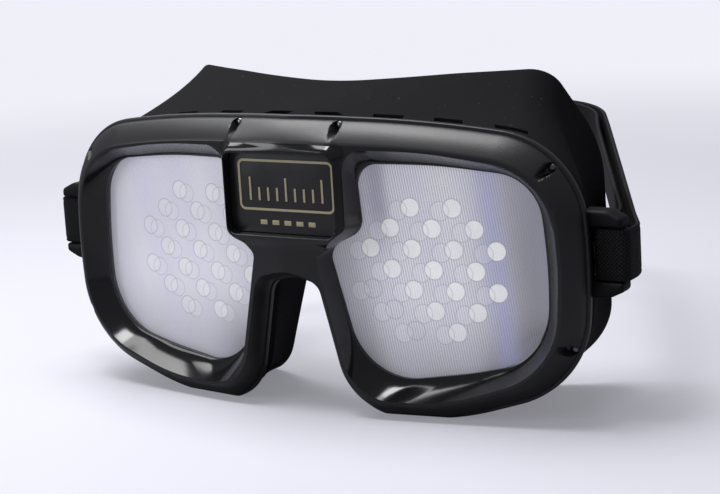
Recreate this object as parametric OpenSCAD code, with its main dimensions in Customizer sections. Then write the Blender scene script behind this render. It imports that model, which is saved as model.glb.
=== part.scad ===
// Alcohol impairment goggles: a rigid twin-lens bezel on a soft face shell,
// with distortion films behind clear panes and an elastic headband.
// X runs across the face, -Y is the front, +Z is up, and the feet stand on Z = 0.
// "Right" is +X, the viewer's right when looking at the front.

/* [Bezel] */
// Width of the bezel across its lip
bezel_w = 180; // [172:1:190]
// Height of the bezel lip from its feet to the brow
bezel_h = 89.8; // [88:0.1:96]
// Angle that each half of the front wraps back
wrap_angle = 8; // [5:0.5:10]
// Depth of the front ridge before the lens seat
ridge_d = 7.5; // [6:0.1:9]
// Depth of the lip behind the lens seat
lip_back = 1; // [0.8:0.1:1.4]
// Thickness of the lip
lip_t = 1.8; // [1.2:0.1:2.4]
// Height of the sloped outer band over the brow
band_top = 7.4; // [6.5:0.1:8]
// Width of the sloped outer band at the sides
band_side = 5.6; // [4.5:0.1:6.5]
// Height of the sloped outer band under the lenses
band_foot = 5.8; // [5:0.1:6.5]
// Width of the flat land along the ridge
ridge_land = 0.7; // [0.5:0.1:1]
// Corner radius of the lip at the temples
temple_r = 28; // [24:1:28]
// Corner radius of the lip at the cheeks
cheek_r = 30; // [26:1:30]
// Radius of the lip's inner toes beside the nose
toe_r = 17; // [14:0.5:17]

/* [Nose notch] */
// Distance from the brow down to the nose notch in the lip
arch_drop = 48.6; // [47:0.1:51]
// Half width of the notch at its shoulders
arch_half = 9.2; // [8.5:0.1:9.8]
// Distance of the inner toes from the centre
toe_x = 17.2; // [16.5:0.1:18.5]

/* [Lens apertures] */
// Width of the frame beside the apertures
frame_side = 11.8; // [11.4:0.1:12.6]
// Height of the frame over the apertures
frame_top = 14.4; // [14:0.1:15.2]
// Half of the least distance between the apertures
lens_gap_half = 11.8; // [11.6:0.1:12.4]
// Height of the apertures' lower edge
lens_z = 11.4; // [11:0.1:12]
// Depth of the short straight wall before the lens
lens_wall_d = 1.2; // [0.8:0.1:2]

/* [Label boss] */
// Half width of the boss between the apertures
boss_half = 21.4; // [21:0.1:23]
// Distance that the boss stands before the ridge
boss_proud = 0.3; // [0.1:0.1:0.8]
// Width of the sunken label place
label_w = 38; // [36:0.1:38.4]
// Height of the sunken label place
label_h = 24.4; // [22:0.1:25]
// Distance from the brow down to the label place
label_drop = 10.8; // [10.4:0.1:11.4]
// Corner radius of the label place
label_r = 3; // [2:0.1:4]
// Thickness of the label plate
plate_t = 0.8; // [0.5:0.1:1.2]
// Depth of the label plate's face before the lens seat
plate_face = 4.2; // [3.5:0.1:4.6]
// Thickness of the printed marks
mark_t = 0.2; // [0.15:0.05:0.3]
// Line width of the printed frame
mark_line = 0.7; // [0.5:0.1:1]
// Margin of the plate beside the printed frame
mark_margin = 2.5; // [2:0.1:4]
// Sideways place of the printed marks on the plate
mark_shift = 1; // [-1:0.1:1]
// Count of scale ticks
tick_count = 9; // [5:1:13]
// Gap round the plate and the panes
fit_gap = 0.15; // [0.1:0.05:0.2]

/* [Lens stack] */
// Reach of the panes behind the aperture's edge
pane_margin = 0.7; // [0.6:0.1:0.8]
// Thickness of the clear front pane
pane_t = 1.5; // [1:0.1:1.6]
// Thickness of the grooved film
groove_t = 0.5; // [0.3:0.05:0.6]
// Thickness of the spotted film
film_t = 0.5; // [0.3:0.05:0.6]
// Thickness of the lens gasket
gasket_t = 1.1; // [0.8:0.1:1.2]
// Gap between neighbours in the stack
stack_gap = 0.1; // [0.05:0.05:0.15]
// Diameter of the round spots
spot_d = 5.7; // [4:0.1:6]
// Distance between spots in a row
spot_pitch = 12.85; // [12:0.05:13.5]
// Height between rows of spots
spot_row = 6.15; // [5.8:0.05:6.4]
// Distance of the spots' centre from the aperture's, towards the nose
spot_in = 2.4; // [0:0.1:4]
// Height of the spots' centre over the aperture's
spot_up = 0.4; // [-1:0.1:2]

/* [Face shell] */
// Thickness of the shell's wall
shell_wall = 1.6; // [1.4:0.1:1.8]
// Step from the lip's edge in to the shell
shell_inset = 1.6; // [1.4:0.1:1.7]
// Thickness of the flange behind the lens stack
flange_t = 1.6; // [1.2:0.1:2]
// Depth of the face rim at the forehead
rim_y = 28; // [24:0.5:30]
// Extra depth of the face rim at the temples
rim_sweep = 30; // [26:0.5:32]
// Distance that the face rim's side lies inside the lip's edge
rim_in = 12.8; // [11:0.1:14]
// Height of the face rim over the lip at the forehead
rim_over = 5.7; // [4:0.1:7]
// Rise of the face rim from the forehead to the temples
rim_rise = 3.9; // [2:0.1:5]
// Radius of the face rim's upper corners
rim_corner_r = 9.5; // [7:0.5:11]
// Rise of the nose arch from the lip back to the face rim
rim_arch_rise = 7.8; // [5:0.1:11]
// Half width of that arch at its shoulders
rim_arch_half = 11.5; // [10.5:0.1:12.5]

/* [Vents] */
// Count of vent slots along the brow
vent_count = 8; // [4:2:8]
// Distance between vent slots
vent_pitch = 18.6; // [17:0.1:19.4]
// Length of a vent slot
vent_l = 9.8; // [7:0.1:12]
// Width of a vent slot
vent_w = 1.6; // [1.2:0.1:1.8]
// Distance of the vent slots behind the start of the sweep
vent_back = 1; // [0.8:0.1:1.6]

/* [Snap studs] */
// Diameter of a stud's shank
stud_d = 1.1; // [0.9:0.1:1.2]
// Diameter of a stud's head
stud_head_d = 2.6; // [2.2:0.1:3]
// Height of a stud's head
stud_head_h = 0.9; // [0.6:0.1:1.2]
// Length of a stud's shank behind the lip's face
stud_l = 5; // [4:0.1:6]
// Distance of the brow studs from the middle
stud_x = 17.4; // [15:0.1:20]
// Diameter of the notch round a stud
notch_d = 3.6; // [3.2:0.1:4.2]
// Length of the notch's tail
notch_tail = 1.6; // [1:0.1:2.5]

/* [Strap lugs] */
// Overall height of a lug
lug_h = 25.2; // [25:0.1:28]
// Depth of a lug from front to back
lug_d = 6.8; // [6:0.1:7.5]
// Reach of a lug beyond the lip's edge
lug_out = 8.9; // [8.7:0.1:10]
// Depth that a lug's root holds behind the shell's wall
lug_hold = 2.4; // [1.6:0.1:3]
// Length of the flat bar that the webbing goes round
bar_l = 7.8; // [7:0.1:9]
// Thickness of that bar
bar_t = 3; // [2.4:0.1:3.4]
// Gap between the lip's back and a lug
lug_gap = 0.35; // [0.2:0.05:1]
// Width of the slot between the bar and the lug's root
lug_slot = 3; // [2.8:0.1:3.4]
// Height of the lug's centre
lug_z = 50; // [49:0.1:51]

/* [Headband] */
// Width of the webbing
strap_w = 15; // [14:0.1:15.4]
// Thickness of the webbing
strap_t = 1.4; // [1.2:0.1:1.6]
// Gap between the webbing and what it goes round
strap_gap = 0.2; // [0.15:0.05:0.3]
// Gap between the webbing's edges and the lug's arms
edge_gap = 0.3; // [0.25:0.05:0.4]
// Distance that the inner ply leans in between the bar and the tilt axis
ply_lean = 2; // [0:0.1:2.2]
// Distance from the bar's centre back to the tilt axis
tilt_back = 13.6; // [13.2:0.1:16]
// Angle at which the headband rises to the back
strap_rise = 5.5; // [0:0.5:8]
// Length of the headband from the tilt axis to its back
band_reach = 135.5; // [125:0.5:160]
// Distance at which the side runs end and the back begins
run_end = 103; // [95:0.5:110]
// Distance of the side runs from the middle at their far end
run_end_x = 44; // [40:0.5:48]
// Bend radius of the side runs at their far end
run_bend_r = 60; // [40:1:80]
// Half width of the flat back of the headband
back_half = 27; // [24:0.5:29]
// Radius of the headband's back corners
back_r = 35; // [22:1:36]
// Distance of the inner ply's knee from the tilt axis
knee_at = 10; // [8:0.5:14]
// Distance sideways from the headband to the inner ply at its knee
knee_gap = 2.76; // [2.2:0.01:4]
// Distance sideways from the headband to the inner ply at the far end of the run
ply_end_gap = 4; // [2.5:0.1:5]
// Running gap of the tilting ends
tilt_gap = 0.3; // [0.25:0.05:0.4]
// Distance from the tilt axis to the tail's end
tail_end = 96; // [90:0.5:100]

/* [Adjuster] */
// Length of the strap slider along the webbing
slider_l = 12; // [9:0.5:14]
// Wall of the slider outside the webbing
slider_wall = 1.5; // [1.2:0.1:2]
// Thickness of the slider's middle bar
slider_bar = 1.5; // [1.2:0.1:1.6]
// Gap between the slider and the webbing
slider_gap = 0.35; // [0.3:0.05:0.4]
// Distance from the tilt axis to the slider's middle
slider_at = 55; // [52:0.5:60]

/* [Hidden] */
wrap_rise = tan(wrap_angle);
half_w = bezel_w / 2;
lens_w = half_w - frame_side - lens_gap_half;
lens_h = bezel_h - frame_top - lens_z;
label_z = bezel_h - label_drop - label_h;
spot_x = lens_gap_half + lens_w / 2 - spot_in;
spot_z = lens_z + lens_h / 2 + spot_up;
rim_half = half_w - rim_in;
rim_h = bezel_h + rim_over;
arch_h = bezel_h - arch_drop;
rim_arch_h = arch_h + rim_arch_rise;
lug_reach = half_w + lug_out;
bar_y = lip_back + half_w * wrap_rise + lug_gap + lug_d / 2;
open_d = 20;
full_side = 0.985;
fine_fn = 48;

// Depths of the stack, from the lens seat backwards
groove_y = stack_gap + pane_t + stack_gap;
film_y = groove_y + groove_t + stack_gap;
gasket_y = film_y + film_t + stack_gap;
flange_y = gasket_y + gasket_t + stack_gap;
shell_y = lip_back + stack_gap;

// Places that the headband hangs on
tilt_y = bar_y + tilt_back;
bar_x = lug_reach - bar_l;
ply_mid = strap_gap + strap_t / 2;
ply_x = bar_x - ply_mid;
front_ply_y = bar_y - bar_t / 2 - ply_mid;
inner_x = ply_x - ply_lean;
outer_x = lug_reach + ply_mid;
knuckle_r = strap_w / 2;
loop_end_y = tilt_y - knuckle_r - tilt_gap;
run_slope = (outer_x - run_end_x) / (run_end + knuckle_r);
run_angle = atan(run_slope);
ply_room = strap_t + 2 * slider_gap;
ply_pitch = slider_bar + ply_room;
function run_x(s) = outer_x - run_slope * (s + knuckle_r);
function tail_x(s) = run_x(s) - ply_pitch / cos(run_angle);

// Shift that puts the origin at the middle of the whole length
front_y = -ridge_d - boss_proud;
back_y = tilt_y + (band_reach + strap_t / 2) * cos(strap_rise) + knuckle_r * sin(strap_rise);
mid_y = (front_y + back_y) / 2;

// Outlines are lists of corners, [x, z, radius], clockwise seen from the front
outline_arcs = [4, 2, 7, 2, 6, 3, 5, 4, 4];
pane_arcs = [4, 2, 7, 2, 6, 3, 5, 3, 3];

function lip_corners() = [
    [0, bezel_h, 400],
    [half_w / 2, bezel_h - 1.7, 400],
    [half_w - 2, bezel_h - 7.5, temple_r],
    [half_w + 0.3, bezel_h / 2 + 1.8, 200],
    [half_w - 1.4, 11.8, cheek_r],
    [half_w - 41.6, -0.7, 80],
    [toe_x, -0.5, toe_r],
    [arch_half, arch_h - 2.7, 6],
    [0, arch_h, 15]
];

function ridge_corners() = [
    [0, bezel_h - band_top, 400],
    [half_w / 2, bezel_h - 1.7 - band_top, 280],
    [half_w - 2 - band_side, bezel_h - 7.2 - band_top, temple_r - band_side],
    [half_w + 0.3 - band_side, bezel_h / 2 + 1.8, 140],
    [half_w - 1.4 - band_side, 10.8 + band_foot, cheek_r - band_side + 1],
    [half_w - 42.6, -0.7 + band_foot, 74],
    [toe_x + 2, -0.5 + band_foot, toe_r - 1.5],
    [arch_half + 1.8, arch_h - 0.2, 6],
    [0, arch_h + 3.3, 15]
];

function lens_corners() = [
    [lens_gap_half + 9.1, lens_z + lens_h + 0.1, 6.8],
    [lens_gap_half + lens_w / 2 + 1.1, lens_z + lens_h - 0.1, 175],
    [lens_gap_half + lens_w - 2.3, lens_z + lens_h - 3.4, 14.4],
    [lens_gap_half + lens_w + 0.2, lens_z + 34.7, 160],
    [lens_gap_half + lens_w - 0.7, lens_z + 7.7, 20],
    [lens_gap_half + lens_w - 24.3, lens_z + 2.5, 97],
    [lens_gap_half + 9.4, lens_z - 2.3, 18.8],
    [lens_gap_half - 0.7, label_z - 4.8, 5.5],
    [lens_gap_half + 10.6, label_z + 0.9, 5.5]
];

// The aperture's edge on the ridge follows the ridge, but stays close at the boss and nose
function slope_corners() = let (r = ridge_corners(), n = ridge_land) [
    [boss_half - 0.6, r[0][1] - 1.2 - n, 6],
    [half_w / 2, r[1][1] - n, 150],
    [r[2][0] - n, r[2][1] - n, r[2][2] - n],
    [r[3][0] - n, r[3][1], 120],
    [r[4][0] - n, r[4][1] + n, r[4][2] - n],
    [r[5][0] + 1, r[5][1] + n, r[5][2] - 4],
    [r[6][0] + 1.1 * n, r[6][1] + n, r[6][2] - n],
    [lens_gap_half - 1.1, label_z - 5.6, 3],
    [boss_half - 0.6, label_z + 3.8, 3]
];

function rim_corners() = [
    [0, rim_h, 200],
    [rim_half / 2, rim_h + 0.55 * rim_rise, 200],
    [rim_half - 14.2, rim_h + rim_rise - 1.5, rim_corner_r],
    [rim_half - 1.9, rim_h - 21, 45],
    [rim_half - 0.6, 17, 20],
    [rim_half - 18.6, -0.5, 20],
    [toe_x + 9, -0.5, 15],
    [rim_arch_half, rim_arch_h - 5, 7],
    [0, rim_arch_h, 15]
];

function unit(v) = v / norm(v);
function flat_of(p) = [p[0], p[1]];
function turn_to(a) = a > 180 ? a - 360 : a < -180 ? a + 360 : a;

// Points of the arc that rounds corner p between its neighbours a and b
function corner_arc(a, p, b, n) =
    let (
        q = flat_of(p),
        u = unit(flat_of(a) - q),
        v = unit(flat_of(b) - q),
        half_angle = acos(max(-1, min(1, u * v))) / 2,
        c = q + unit(u + v) * p[2] / sin(half_angle),
        s = q + u * p[2] / tan(half_angle),
        e = q + v * p[2] / tan(half_angle),
        a0 = atan2(s[1] - c[1], s[0] - c[0]),
        sweep = turn_to(atan2(e[1] - c[1], e[0] - c[0]) - a0)
    )
    [for (i = [0:n]) c + p[2] * [cos(a0 + sweep * i / n), sin(a0 + sweep * i / n)]];

// Length of a side that the arc at corner p takes up
function taken(a, p, b) =
    let (
        u = unit(flat_of(a) - flat_of(p)),
        v = unit(flat_of(b) - flat_of(p))
    )
    p[2] / tan(acos(max(-1, min(1, u * v))) / 2);

// Where two neighbouring arcs need more than their side's length, both shrink to share it
function rounded(list, arcs) =
    let (
        m = len(list),
        need = [for (i = [0:m - 1]) taken(list[(i + m - 1) % m], list[i], list[(i + 1) % m])],
        fit = [for (i = [0:m - 1])
            norm(flat_of(list[(i + 1) % m]) - flat_of(list[i])) * full_side / (need[i] + need[(i + 1) % m])],
        sized = [for (i = [0:m - 1])
            [list[i][0], list[i][1], list[i][2] * min(1, fit[i], fit[(i + m - 1) % m])]]
    )
    [for (i = [0:m - 1]) each corner_arc(sized[(i + m - 1) % m], sized[i], sized[(i + 1) % m], arcs[i])];

// A half outline that starts and ends on the middle, made whole
function mirrored(list) =
    [each list, for (i = [len(list) - 2:-1:1]) [-list[i][0], list[i][1], list[i][2]]];
function mirrored_counts(list) = [each list, for (i = [len(list) - 2:-1:1]) list[i]];
function whole(list) = rounded(mirrored(list), mirrored_counts(outline_arcs));

// Corners moved out by g, square to their edges
function grown(list, g) =
    let (m = len(list))
    [for (i = [0:m - 1])
        let (
            p = flat_of(list[i]),
            u = unit(p - flat_of(list[(i + m - 1) % m])),
            v = unit(flat_of(list[(i + 1) % m]) - p),
            n1 = [-u[1], u[0]],
            n2 = [-v[1], v[0]],
            q = p + (n1 + n2) * g / (1 + n1 * n2),
            convex = u[0] * v[1] - u[1] * v[0] < 0
        )
        [q[0], q[1], max(0.4, list[i][2] + (convex ? g : -g))]];
function grown_half(list, g) =
    let (all = grown(mirrored(list), g)) [for (i = [0:len(list) - 1]) all[i]];
function blend(a, b, f) = [for (i = [0:len(a) - 1]) a[i] + (b[i] - a[i]) * f];

// Outline points at depth y0, swept back by the wrap of the front
function at_depth(pts, y0) = [for (p = pts) [p[0], y0 + abs(p[0]) * wrap_rise, p[1]]];

function sum(v, n) = n < 0 ? 0 : v[n] + sum(v, n - 1);
top_point = outline_arcs[0] / 2;
arch_point = sum(outline_arcs, 7) + 8 + outline_arcs[8] / 2;
function mean(pts) = [for (k = [0:2]) [for (p = pts) p[k]] * [for (p = pts) 1] / len(pts)];
outline_count = len(whole(lip_corners()));
half_loops = [
    [for (i = [top_point:arch_point]) i],
    [for (i = [arch_point:outline_count + top_point]) i % outline_count]
];

// Joins rings of points with triangles. A tube's last ring meets its first, and the
// ends of anything else are closed by fans, one round the middle of each flat loop.
module skin(rings, loops = [], tube = false) {
    n = len(rings[0]);
    m = len(rings);
    hubs = [for (r = [rings[0], rings[m - 1]], loop = loops) mean([for (i = loop) r[i]])];
    sides = [for (j = [0:(tube ? m - 1 : m - 2)], i = [0:n - 1])
        let (
            k = (j + 1) % m,
            a = j * n + i,
            b = j * n + (i + 1) % n,
            c = k * n + (i + 1) % n,
            d = k * n + i
        )
        each [[a, d, c], [a, c, b]]];
    fans = [for (k = [0:1:len(loops) - 1], i = [0:len(loops[k]) - 1])
        let (
            a = loops[k][i],
            b = loops[k][(i + 1) % len(loops[k])],
            far = (m - 1) * n
        )
        each [[m * n + k, a, b], [m * n + len(loops) + k, far + b, far + a]]];
    polyhedron(points = [for (r = rings) each r, each hubs], faces = [each sides, each fans]);
}

module placed() {
    translate([0, -mid_y, 0]) children();
}

module both_sides() {
    children();
    mirror([1, 0, 0]) children();
}

// Bezel
band_steps = [[0.97, 0], [0.78, 0.12], [0.55, 0.32], [0.34, 0.56], [0.2, 0.8]];

module bezel_body() {
    lip = lip_corners();
    ridge = ridge_corners();
    lip_y = lip_back - lip_t;
    skin([
        at_depth(whole(ridge), -ridge_d),
        for (s = band_steps) at_depth(whole(blend(lip, ridge, s[0])), -ridge_d + (lip_y + ridge_d) * s[1]),
        at_depth(whole(blend(lip, ridge, 0.14)), lip_y),
        at_depth(whole(lip), lip_y),
        at_depth(whole(lip), lip_back)
    ], loops = half_loops);
}

module aperture_cut() {
    seat = rounded(lens_corners(), pane_arcs);
    slope = rounded(slope_corners(), pane_arcs);
    mid = rounded(blend(slope_corners(), lens_corners(), 0.6), pane_arcs);
    skin([
        at_depth(slope, -ridge_d - open_d),
        at_depth(slope, -ridge_d),
        at_depth(mid, -ridge_d * 0.38),
        at_depth(seat, -lens_wall_d),
        at_depth(seat, lip_back / 2)
    ], loops = [[for (i = [0:len(seat) - 1]) i]]);
    pane(0, open_d, pane_margin + 2 * fit_gap);
}

module label_outline(gap) {
    polygon(rounded([
        [-label_w / 2 + gap, label_z + label_h - gap, label_r],
        [label_w / 2 - gap, label_z + label_h - gap, label_r],
        [label_w / 2 - gap, label_z + gap, label_r],
        [-label_w / 2 + gap, label_z + gap, label_r]
    ], [6, 6, 6, 6]));
}

// Extrudes a front view outline from depth y0 back by t
module slab(y0, t) {
    translate([0, y0 + t, 0]) rotate([90, 0, 0]) linear_extrude(t) children();
}

module boss_block() {
    top = ridge_corners()[0][1] - 1.4;
    slab(front_y, ridge_d + boss_proud)
        polygon(rounded([
            [-boss_half + 1.6, top, 3.5],
            [boss_half - 1.6, top, 3.5],
            [boss_half - 1.6, label_z - 2.2, 4],
            [-boss_half + 1.6, label_z - 2.2, 4]
        ], [6, 6, 6, 6]));
}

// Places of the snap studs on the shell's wall line, [x, z], and the way their notches point
function stud_line() = grown_half(lip_corners(), -shell_inset - shell_wall / 2);
function stud_places() =
    let (
        line = mirrored(stud_line()),
        temple = corner_arc(line[1], line[2], line[3], 8),
        cheek = corner_arc(line[3], line[4], line[5], 10),
        brow_z = line[0][1] + (line[1][1] - line[0][1]) * stud_x / line[1][0]
    )
    [[stud_x, brow_z - 0.1, -90], [temple[4][0], temple[4][1], -135], [cheek[3][0], cheek[3][1], 165]];

module at_studs() {
    for (p = stud_places())
        translate([p[0], lip_back - lip_t + p[0] * wrap_rise, p[1]]) rotate([90, 0, 0]) rotate([0, 0, p[2]]) children();
}

module stud_notch() {
    linear_extrude(open_d) hull() {
        circle(d = notch_d, $fn = fine_fn);
        translate([notch_tail, 0]) circle(d = notch_d * 0.7, $fn = fine_fn);
    }
}

module front_bezel() {
    color([0.05, 0.05, 0.055]) placed() difference() {
        union() {
            bezel_body();
            boss_block();
        }
        both_sides() aperture_cut();
        slab(-plate_face + plate_t - open_d, open_d) label_outline(0);
        both_sides() at_studs() {
            stud_notch();
            translate([0, 0, -lip_t - 1]) cylinder(d = stud_d + 2 * fit_gap, h = open_d, $fn = fine_fn);
        }
        translate([-half_w, -open_d, -open_d]) cube([bezel_w, 3 * open_d, open_d]);
    }
}

module snap_studs() {
    color([0.35, 0.35, 0.38]) placed() both_sides() at_studs() {
        translate([0, 0, -stud_l]) cylinder(d = stud_d, h = stud_l + 0.1, $fn = fine_fn);
        cylinder(d1 = stud_head_d, d2 = stud_head_d * 0.6, h = stud_head_h, $fn = fine_fn);
    }
}

// Label plate and its generic marks
module name_plate() {
    color([0.06, 0.06, 0.07]) placed() slab(-plate_face, plate_t - 0.02) label_outline(fit_gap);
}

module mark_frame(w, h, r) {
    polygon(rounded([[-w / 2, h / 2, r], [w / 2, h / 2, r], [w / 2, -h / 2, r], [-w / 2, -h / 2, r]], [6, 6, 6, 6]));
}

module plate_marks() {
    frame_w = label_w - 2 * mark_margin;
    frame_h = label_h * 0.63;
    frame_z = label_z + label_h - 2.2 - frame_h / 2;
    tick_pitch = (frame_w - 8) / (tick_count - 1);
    color([0.72, 0.66, 0.42]) placed() slab(-plate_face - mark_t, mark_t) translate([mark_shift, 0]) {
        translate([0, frame_z]) difference() {
            mark_frame(frame_w, frame_h, 2);
            mark_frame(frame_w - 2 * mark_line, frame_h - 2 * mark_line, 2 - mark_line);
        }
        for (i = [0:tick_count - 1])
            let (tall = i % 4 == 0 ? 7 : 4)
                translate([(i - (tick_count - 1) / 2) * tick_pitch - mark_line / 2, frame_z - frame_h / 2 + 3])
                    square([mark_line, tall]);
        for (i = [-2:2])
            translate([i * 4.2 - 1.2, label_z + 2.6]) square([2.4, 1.4]);
    }
}

// Lens stack, flat parts laid on the wrapped plane of the right side
module pane(y0, t, margin) {
    rotate([0, 0, wrap_angle]) slab(y0 * cos(wrap_angle), t)
        polygon([for (p = rounded(grown(lens_corners(), margin), pane_arcs)) [p[0] / cos(wrap_angle), p[1]]]);
}

module cover_lens_right() {
    color([0.85, 0.86, 0.93, 0.5]) placed() pane(stack_gap, pane_t, pane_margin);
}

module groove_film_right() {
    color([0.8, 0.8, 0.88, 0.6]) placed() pane(groove_y, groove_t, pane_margin);
}

module disc_film_right() {
    color([0.9, 0.9, 0.95, 0.6]) placed() difference() {
        pane(film_y, film_t, pane_margin);
        rotate([0, 0, wrap_angle]) for (row = [-3:3], col = [-2:2])
            let (
                shift = abs(row) % 2 == 0 ? 0 : 0.5,
                x = (col + shift) * spot_pitch,
                wide = abs(row) == 3 ? 0.7 : abs(row) % 2 == 0 ? 1.2 : 1.7
            )
                if (abs(x) < wide * spot_pitch)
                    translate([(spot_x + x) / cos(wrap_angle), film_y, spot_z + row * spot_row])
                        rotate([90, 0, 0]) cylinder(d = spot_d, h = 4 * film_t, center = true, $fn = fine_fn);
    }
}

module lens_gasket_right() {
    color([0.12, 0.12, 0.13]) placed() difference() {
        pane(gasket_y, gasket_t, pane_margin);
        pane(gasket_y - 1, gasket_t + 2, 0.1);
    }
}

module cover_lens_left() { mirror([1, 0, 0]) cover_lens_right(); }
module groove_film_left() { mirror([1, 0, 0]) groove_film_right(); }
module disc_film_left() { mirror([1, 0, 0]) disc_film_right(); }
module lens_gasket_left() { mirror([1, 0, 0]) lens_gasket_right(); }

// Face shell: the wall runs straight back round the lens stack, then sweeps to the flared face rim
shell_steps = 7;
side_ease = 1.85;
straight_wall = 0.6;
sweep_y = flange_y + flange_t + straight_wall;

function shell_corners(f) =
    let (
        front = grown_half(lip_corners(), -shell_inset),
        rim = rim_corners(),
        side = 1 - pow(1 - f, side_ease)
    )
    [for (i = [0:len(front) - 1])
        let (d = rim[i] - front[i]) front[i] + [d[0] * side, d[1] * f, d[2] * side]];
function shell_depth(x, f) =
    let (
        front = sweep_y + abs(x) * wrap_rise,
        rim = rim_y + rim_sweep * pow(x / rim_half, 2)
    )
    front + (rim - front) * f;
function shell_side(inner) =
    [for (i = [-1:shell_steps])
        let (
            f = max(0, i) / shell_steps,
            list = whole(grown_half(shell_corners(f), inner ? -shell_wall : 0))
        )
        [for (p = list) [p[0], shell_depth(p[0], f) - (i < 0 ? sweep_y - shell_y : 0), p[1]]]];

module shell_wall_tube() {
    outer = shell_side(false);
    inner = shell_side(true);
    skin([each outer, for (i = [len(inner) - 1:-1:0]) inner[i]], tube = true);
}

module shell_flange() {
    edge = whole(grown_half(lip_corners(), -shell_inset - shell_wall * 0.75));
    difference() {
        skin([at_depth(edge, flange_y), at_depth(edge, flange_y + flange_t)], loops = half_loops);
        both_sides() {
            hole = rounded(grown(lens_corners(), 0.1), pane_arcs);
            skin([at_depth(hole, flange_y - open_d), at_depth(hole, flange_y + open_d)],
                loops = [[for (i = [0:len(hole) - 1]) i]]);
        }
    }
}

module vent_cuts() {
    for (i = [0:vent_count / 2 - 1])
        let (x = (i + 0.5) * vent_pitch)
            translate([x, sweep_y + vent_back + x * wrap_rise, bezel_h - open_d / 2]) rotate([0, 0, wrap_angle])
                translate([-vent_l / 2, 0, 0]) cube([vent_l, vent_w, open_d]);
}

module face_shell() {
    color([0.1, 0.1, 0.11]) placed() difference() {
        union() {
            shell_wall_tube();
            shell_flange();
        }
        both_sides() {
            vent_cuts();
            lug_root(fit_gap);
            at_studs() translate([0, 0, -stud_l - 0.1]) cylinder(d = stud_d + 0.04, h = open_d, $fn = fine_fn);
        }
        translate([-half_w, -open_d, -open_d]) cube([bezel_w, 5 * open_d, open_d]);
    }
}

// Strap lugs
lug_root_x = bar_x - lug_slot;
lug_inner_x = half_w - shell_inset - shell_wall - lug_hold;

module lug_root(gap) {
    translate([lug_inner_x, bar_y - lug_d / 2 - gap, lug_z - lug_h / 2 - gap])
        cube([open_d, lug_d + 2 * gap, lug_h + 2 * gap]);
}

module lug_side(top) {
    slot = strap_w / 2 + edge_gap;
    slab(bar_y - lug_d / 2, lug_d)
        translate([0, lug_z]) mirror([0, top ? 0 : 1])
            polygon(rounded([
                [lug_inner_x, lug_h / 2, 0.5],
                [lug_reach - 4.6, lug_h / 2, 5],
                [lug_reach, slot + 1.6, 1.5],
                [lug_reach, slot, 0.5],
                [lug_root_x, slot, 0.5],
                [lug_root_x, -0.1, 0.05],
                [lug_inner_x, -0.1, 0.05]
            ], [3, 8, 4, 3, 3, 1, 1]));
}

module bar_section(grow) {
    r = bar_t / 2 + grow;
    translate([bar_x + bar_t / 2, bar_y - r]) square([bar_l - bar_t, 2 * r]);
    for (x = [bar_x, lug_reach - bar_t])
        translate([x + bar_t / 2, bar_y]) circle(r = r, $fn = fine_fn);
}

module strap_lug_right() {
    color([0.07, 0.07, 0.075]) placed() {
        lug_side(true);
        lug_side(false);
        translate([0, 0, lug_z - strap_w / 2 - 1]) linear_extrude(strap_w + 2) bar_section(0);
    }
}

module strap_lug_left() { mirror([1, 0, 0]) strap_lug_right(); }

// Webbing: a path of corners, [x, y, radius], thickened to a ribbon
function open_path(list, arcs) =
    let (m = len(list))
    [flat_of(list[0]),
     for (i = [1:m - 2]) each corner_arc(list[i - 1], list[i], list[i + 1], arcs),
     flat_of(list[m - 1])];
function side_line(path, d) =
    let (m = len(path))
    [for (i = [0:m - 1])
        let (
            u = unit(path[min(i + 1, m - 1)] - path[max(i - 1, 0)]),
            v = unit(path[min(i + 1, m - 1)] - path[min(i, m - 2)]),
            n = [-u[1], u[0]]
        )
        path[i] + n * d / max(0.8, u * v)];
module ribbon(path) {
    out = side_line(path, strap_t / 2);
    back = side_line(path, -strap_t / 2);
    polygon([each out, for (i = [len(back) - 1:-1:0]) back[i]]);
}

module tilted() {
    translate([0, tilt_y, lug_z]) rotate([strap_rise, 0, 0]) children();
}

module knuckle(r) {
    rotate([0, 90, 0]) cylinder(r = r, h = 3 * bezel_w, center = true, $fn = 2 * fine_fn);
}

// What is kept of webbing on the tilting side: all behind the axis, and a round end before it
module tilting_web(path) {
    tilted() intersection() {
        translate([0, 0, -strap_w / 2]) linear_extrude(strap_w) ribbon(path);
        union() {
            knuckle(knuckle_r);
            translate([-bezel_w, 0, -strap_w]) cube([2 * bezel_w, 2 * band_reach, 2 * strap_w]);
        }
    }
}

module strap_loop_right() {
    corner_r = bar_t / 2 + ply_mid - 0.05;
    color([0.05, 0.05, 0.055]) placed() translate([0, 0, lug_z - strap_w / 2]) linear_extrude(strap_w)
        ribbon(open_path([
            [inner_x, loop_end_y],
            [ply_x, bar_y + bar_t / 2, 3],
            [ply_x, front_ply_y, corner_r],
            [outer_x, front_ply_y, corner_r],
            [outer_x, loop_end_y]
        ], 8));
}

module strap_loop_left() { mirror([1, 0, 0]) strap_loop_right(); }

module headband() {
    half = [
        [run_x(-knuckle_r), -knuckle_r],
        [run_end_x, run_end, run_bend_r],
        [back_half, band_reach, back_r]
    ];
    path = [each half, for (i = [2:-1:0]) [-half[i][0], half[i][1], half[i][2]]];
    color([0.05, 0.05, 0.055]) placed() tilting_web(open_path(path, 12));
}

// The right return ply lies inside the headband and is sewn to it at the back
seam_y = band_reach - strap_t - stack_gap;
seam_x = -1;

module return_ply_right() {
    color([0.06, 0.06, 0.065]) placed() tilting_web(open_path([
        [inner_x, -knuckle_r],
        [run_x(knee_at) - knee_gap, knee_at, 15],
        [run_x(run_end - 4) - ply_end_gap, run_end - 4, run_bend_r],
        [back_half - 1, seam_y, back_r - strap_t - stack_gap],
        [seam_x, seam_y]
    ], 10));
}

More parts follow.
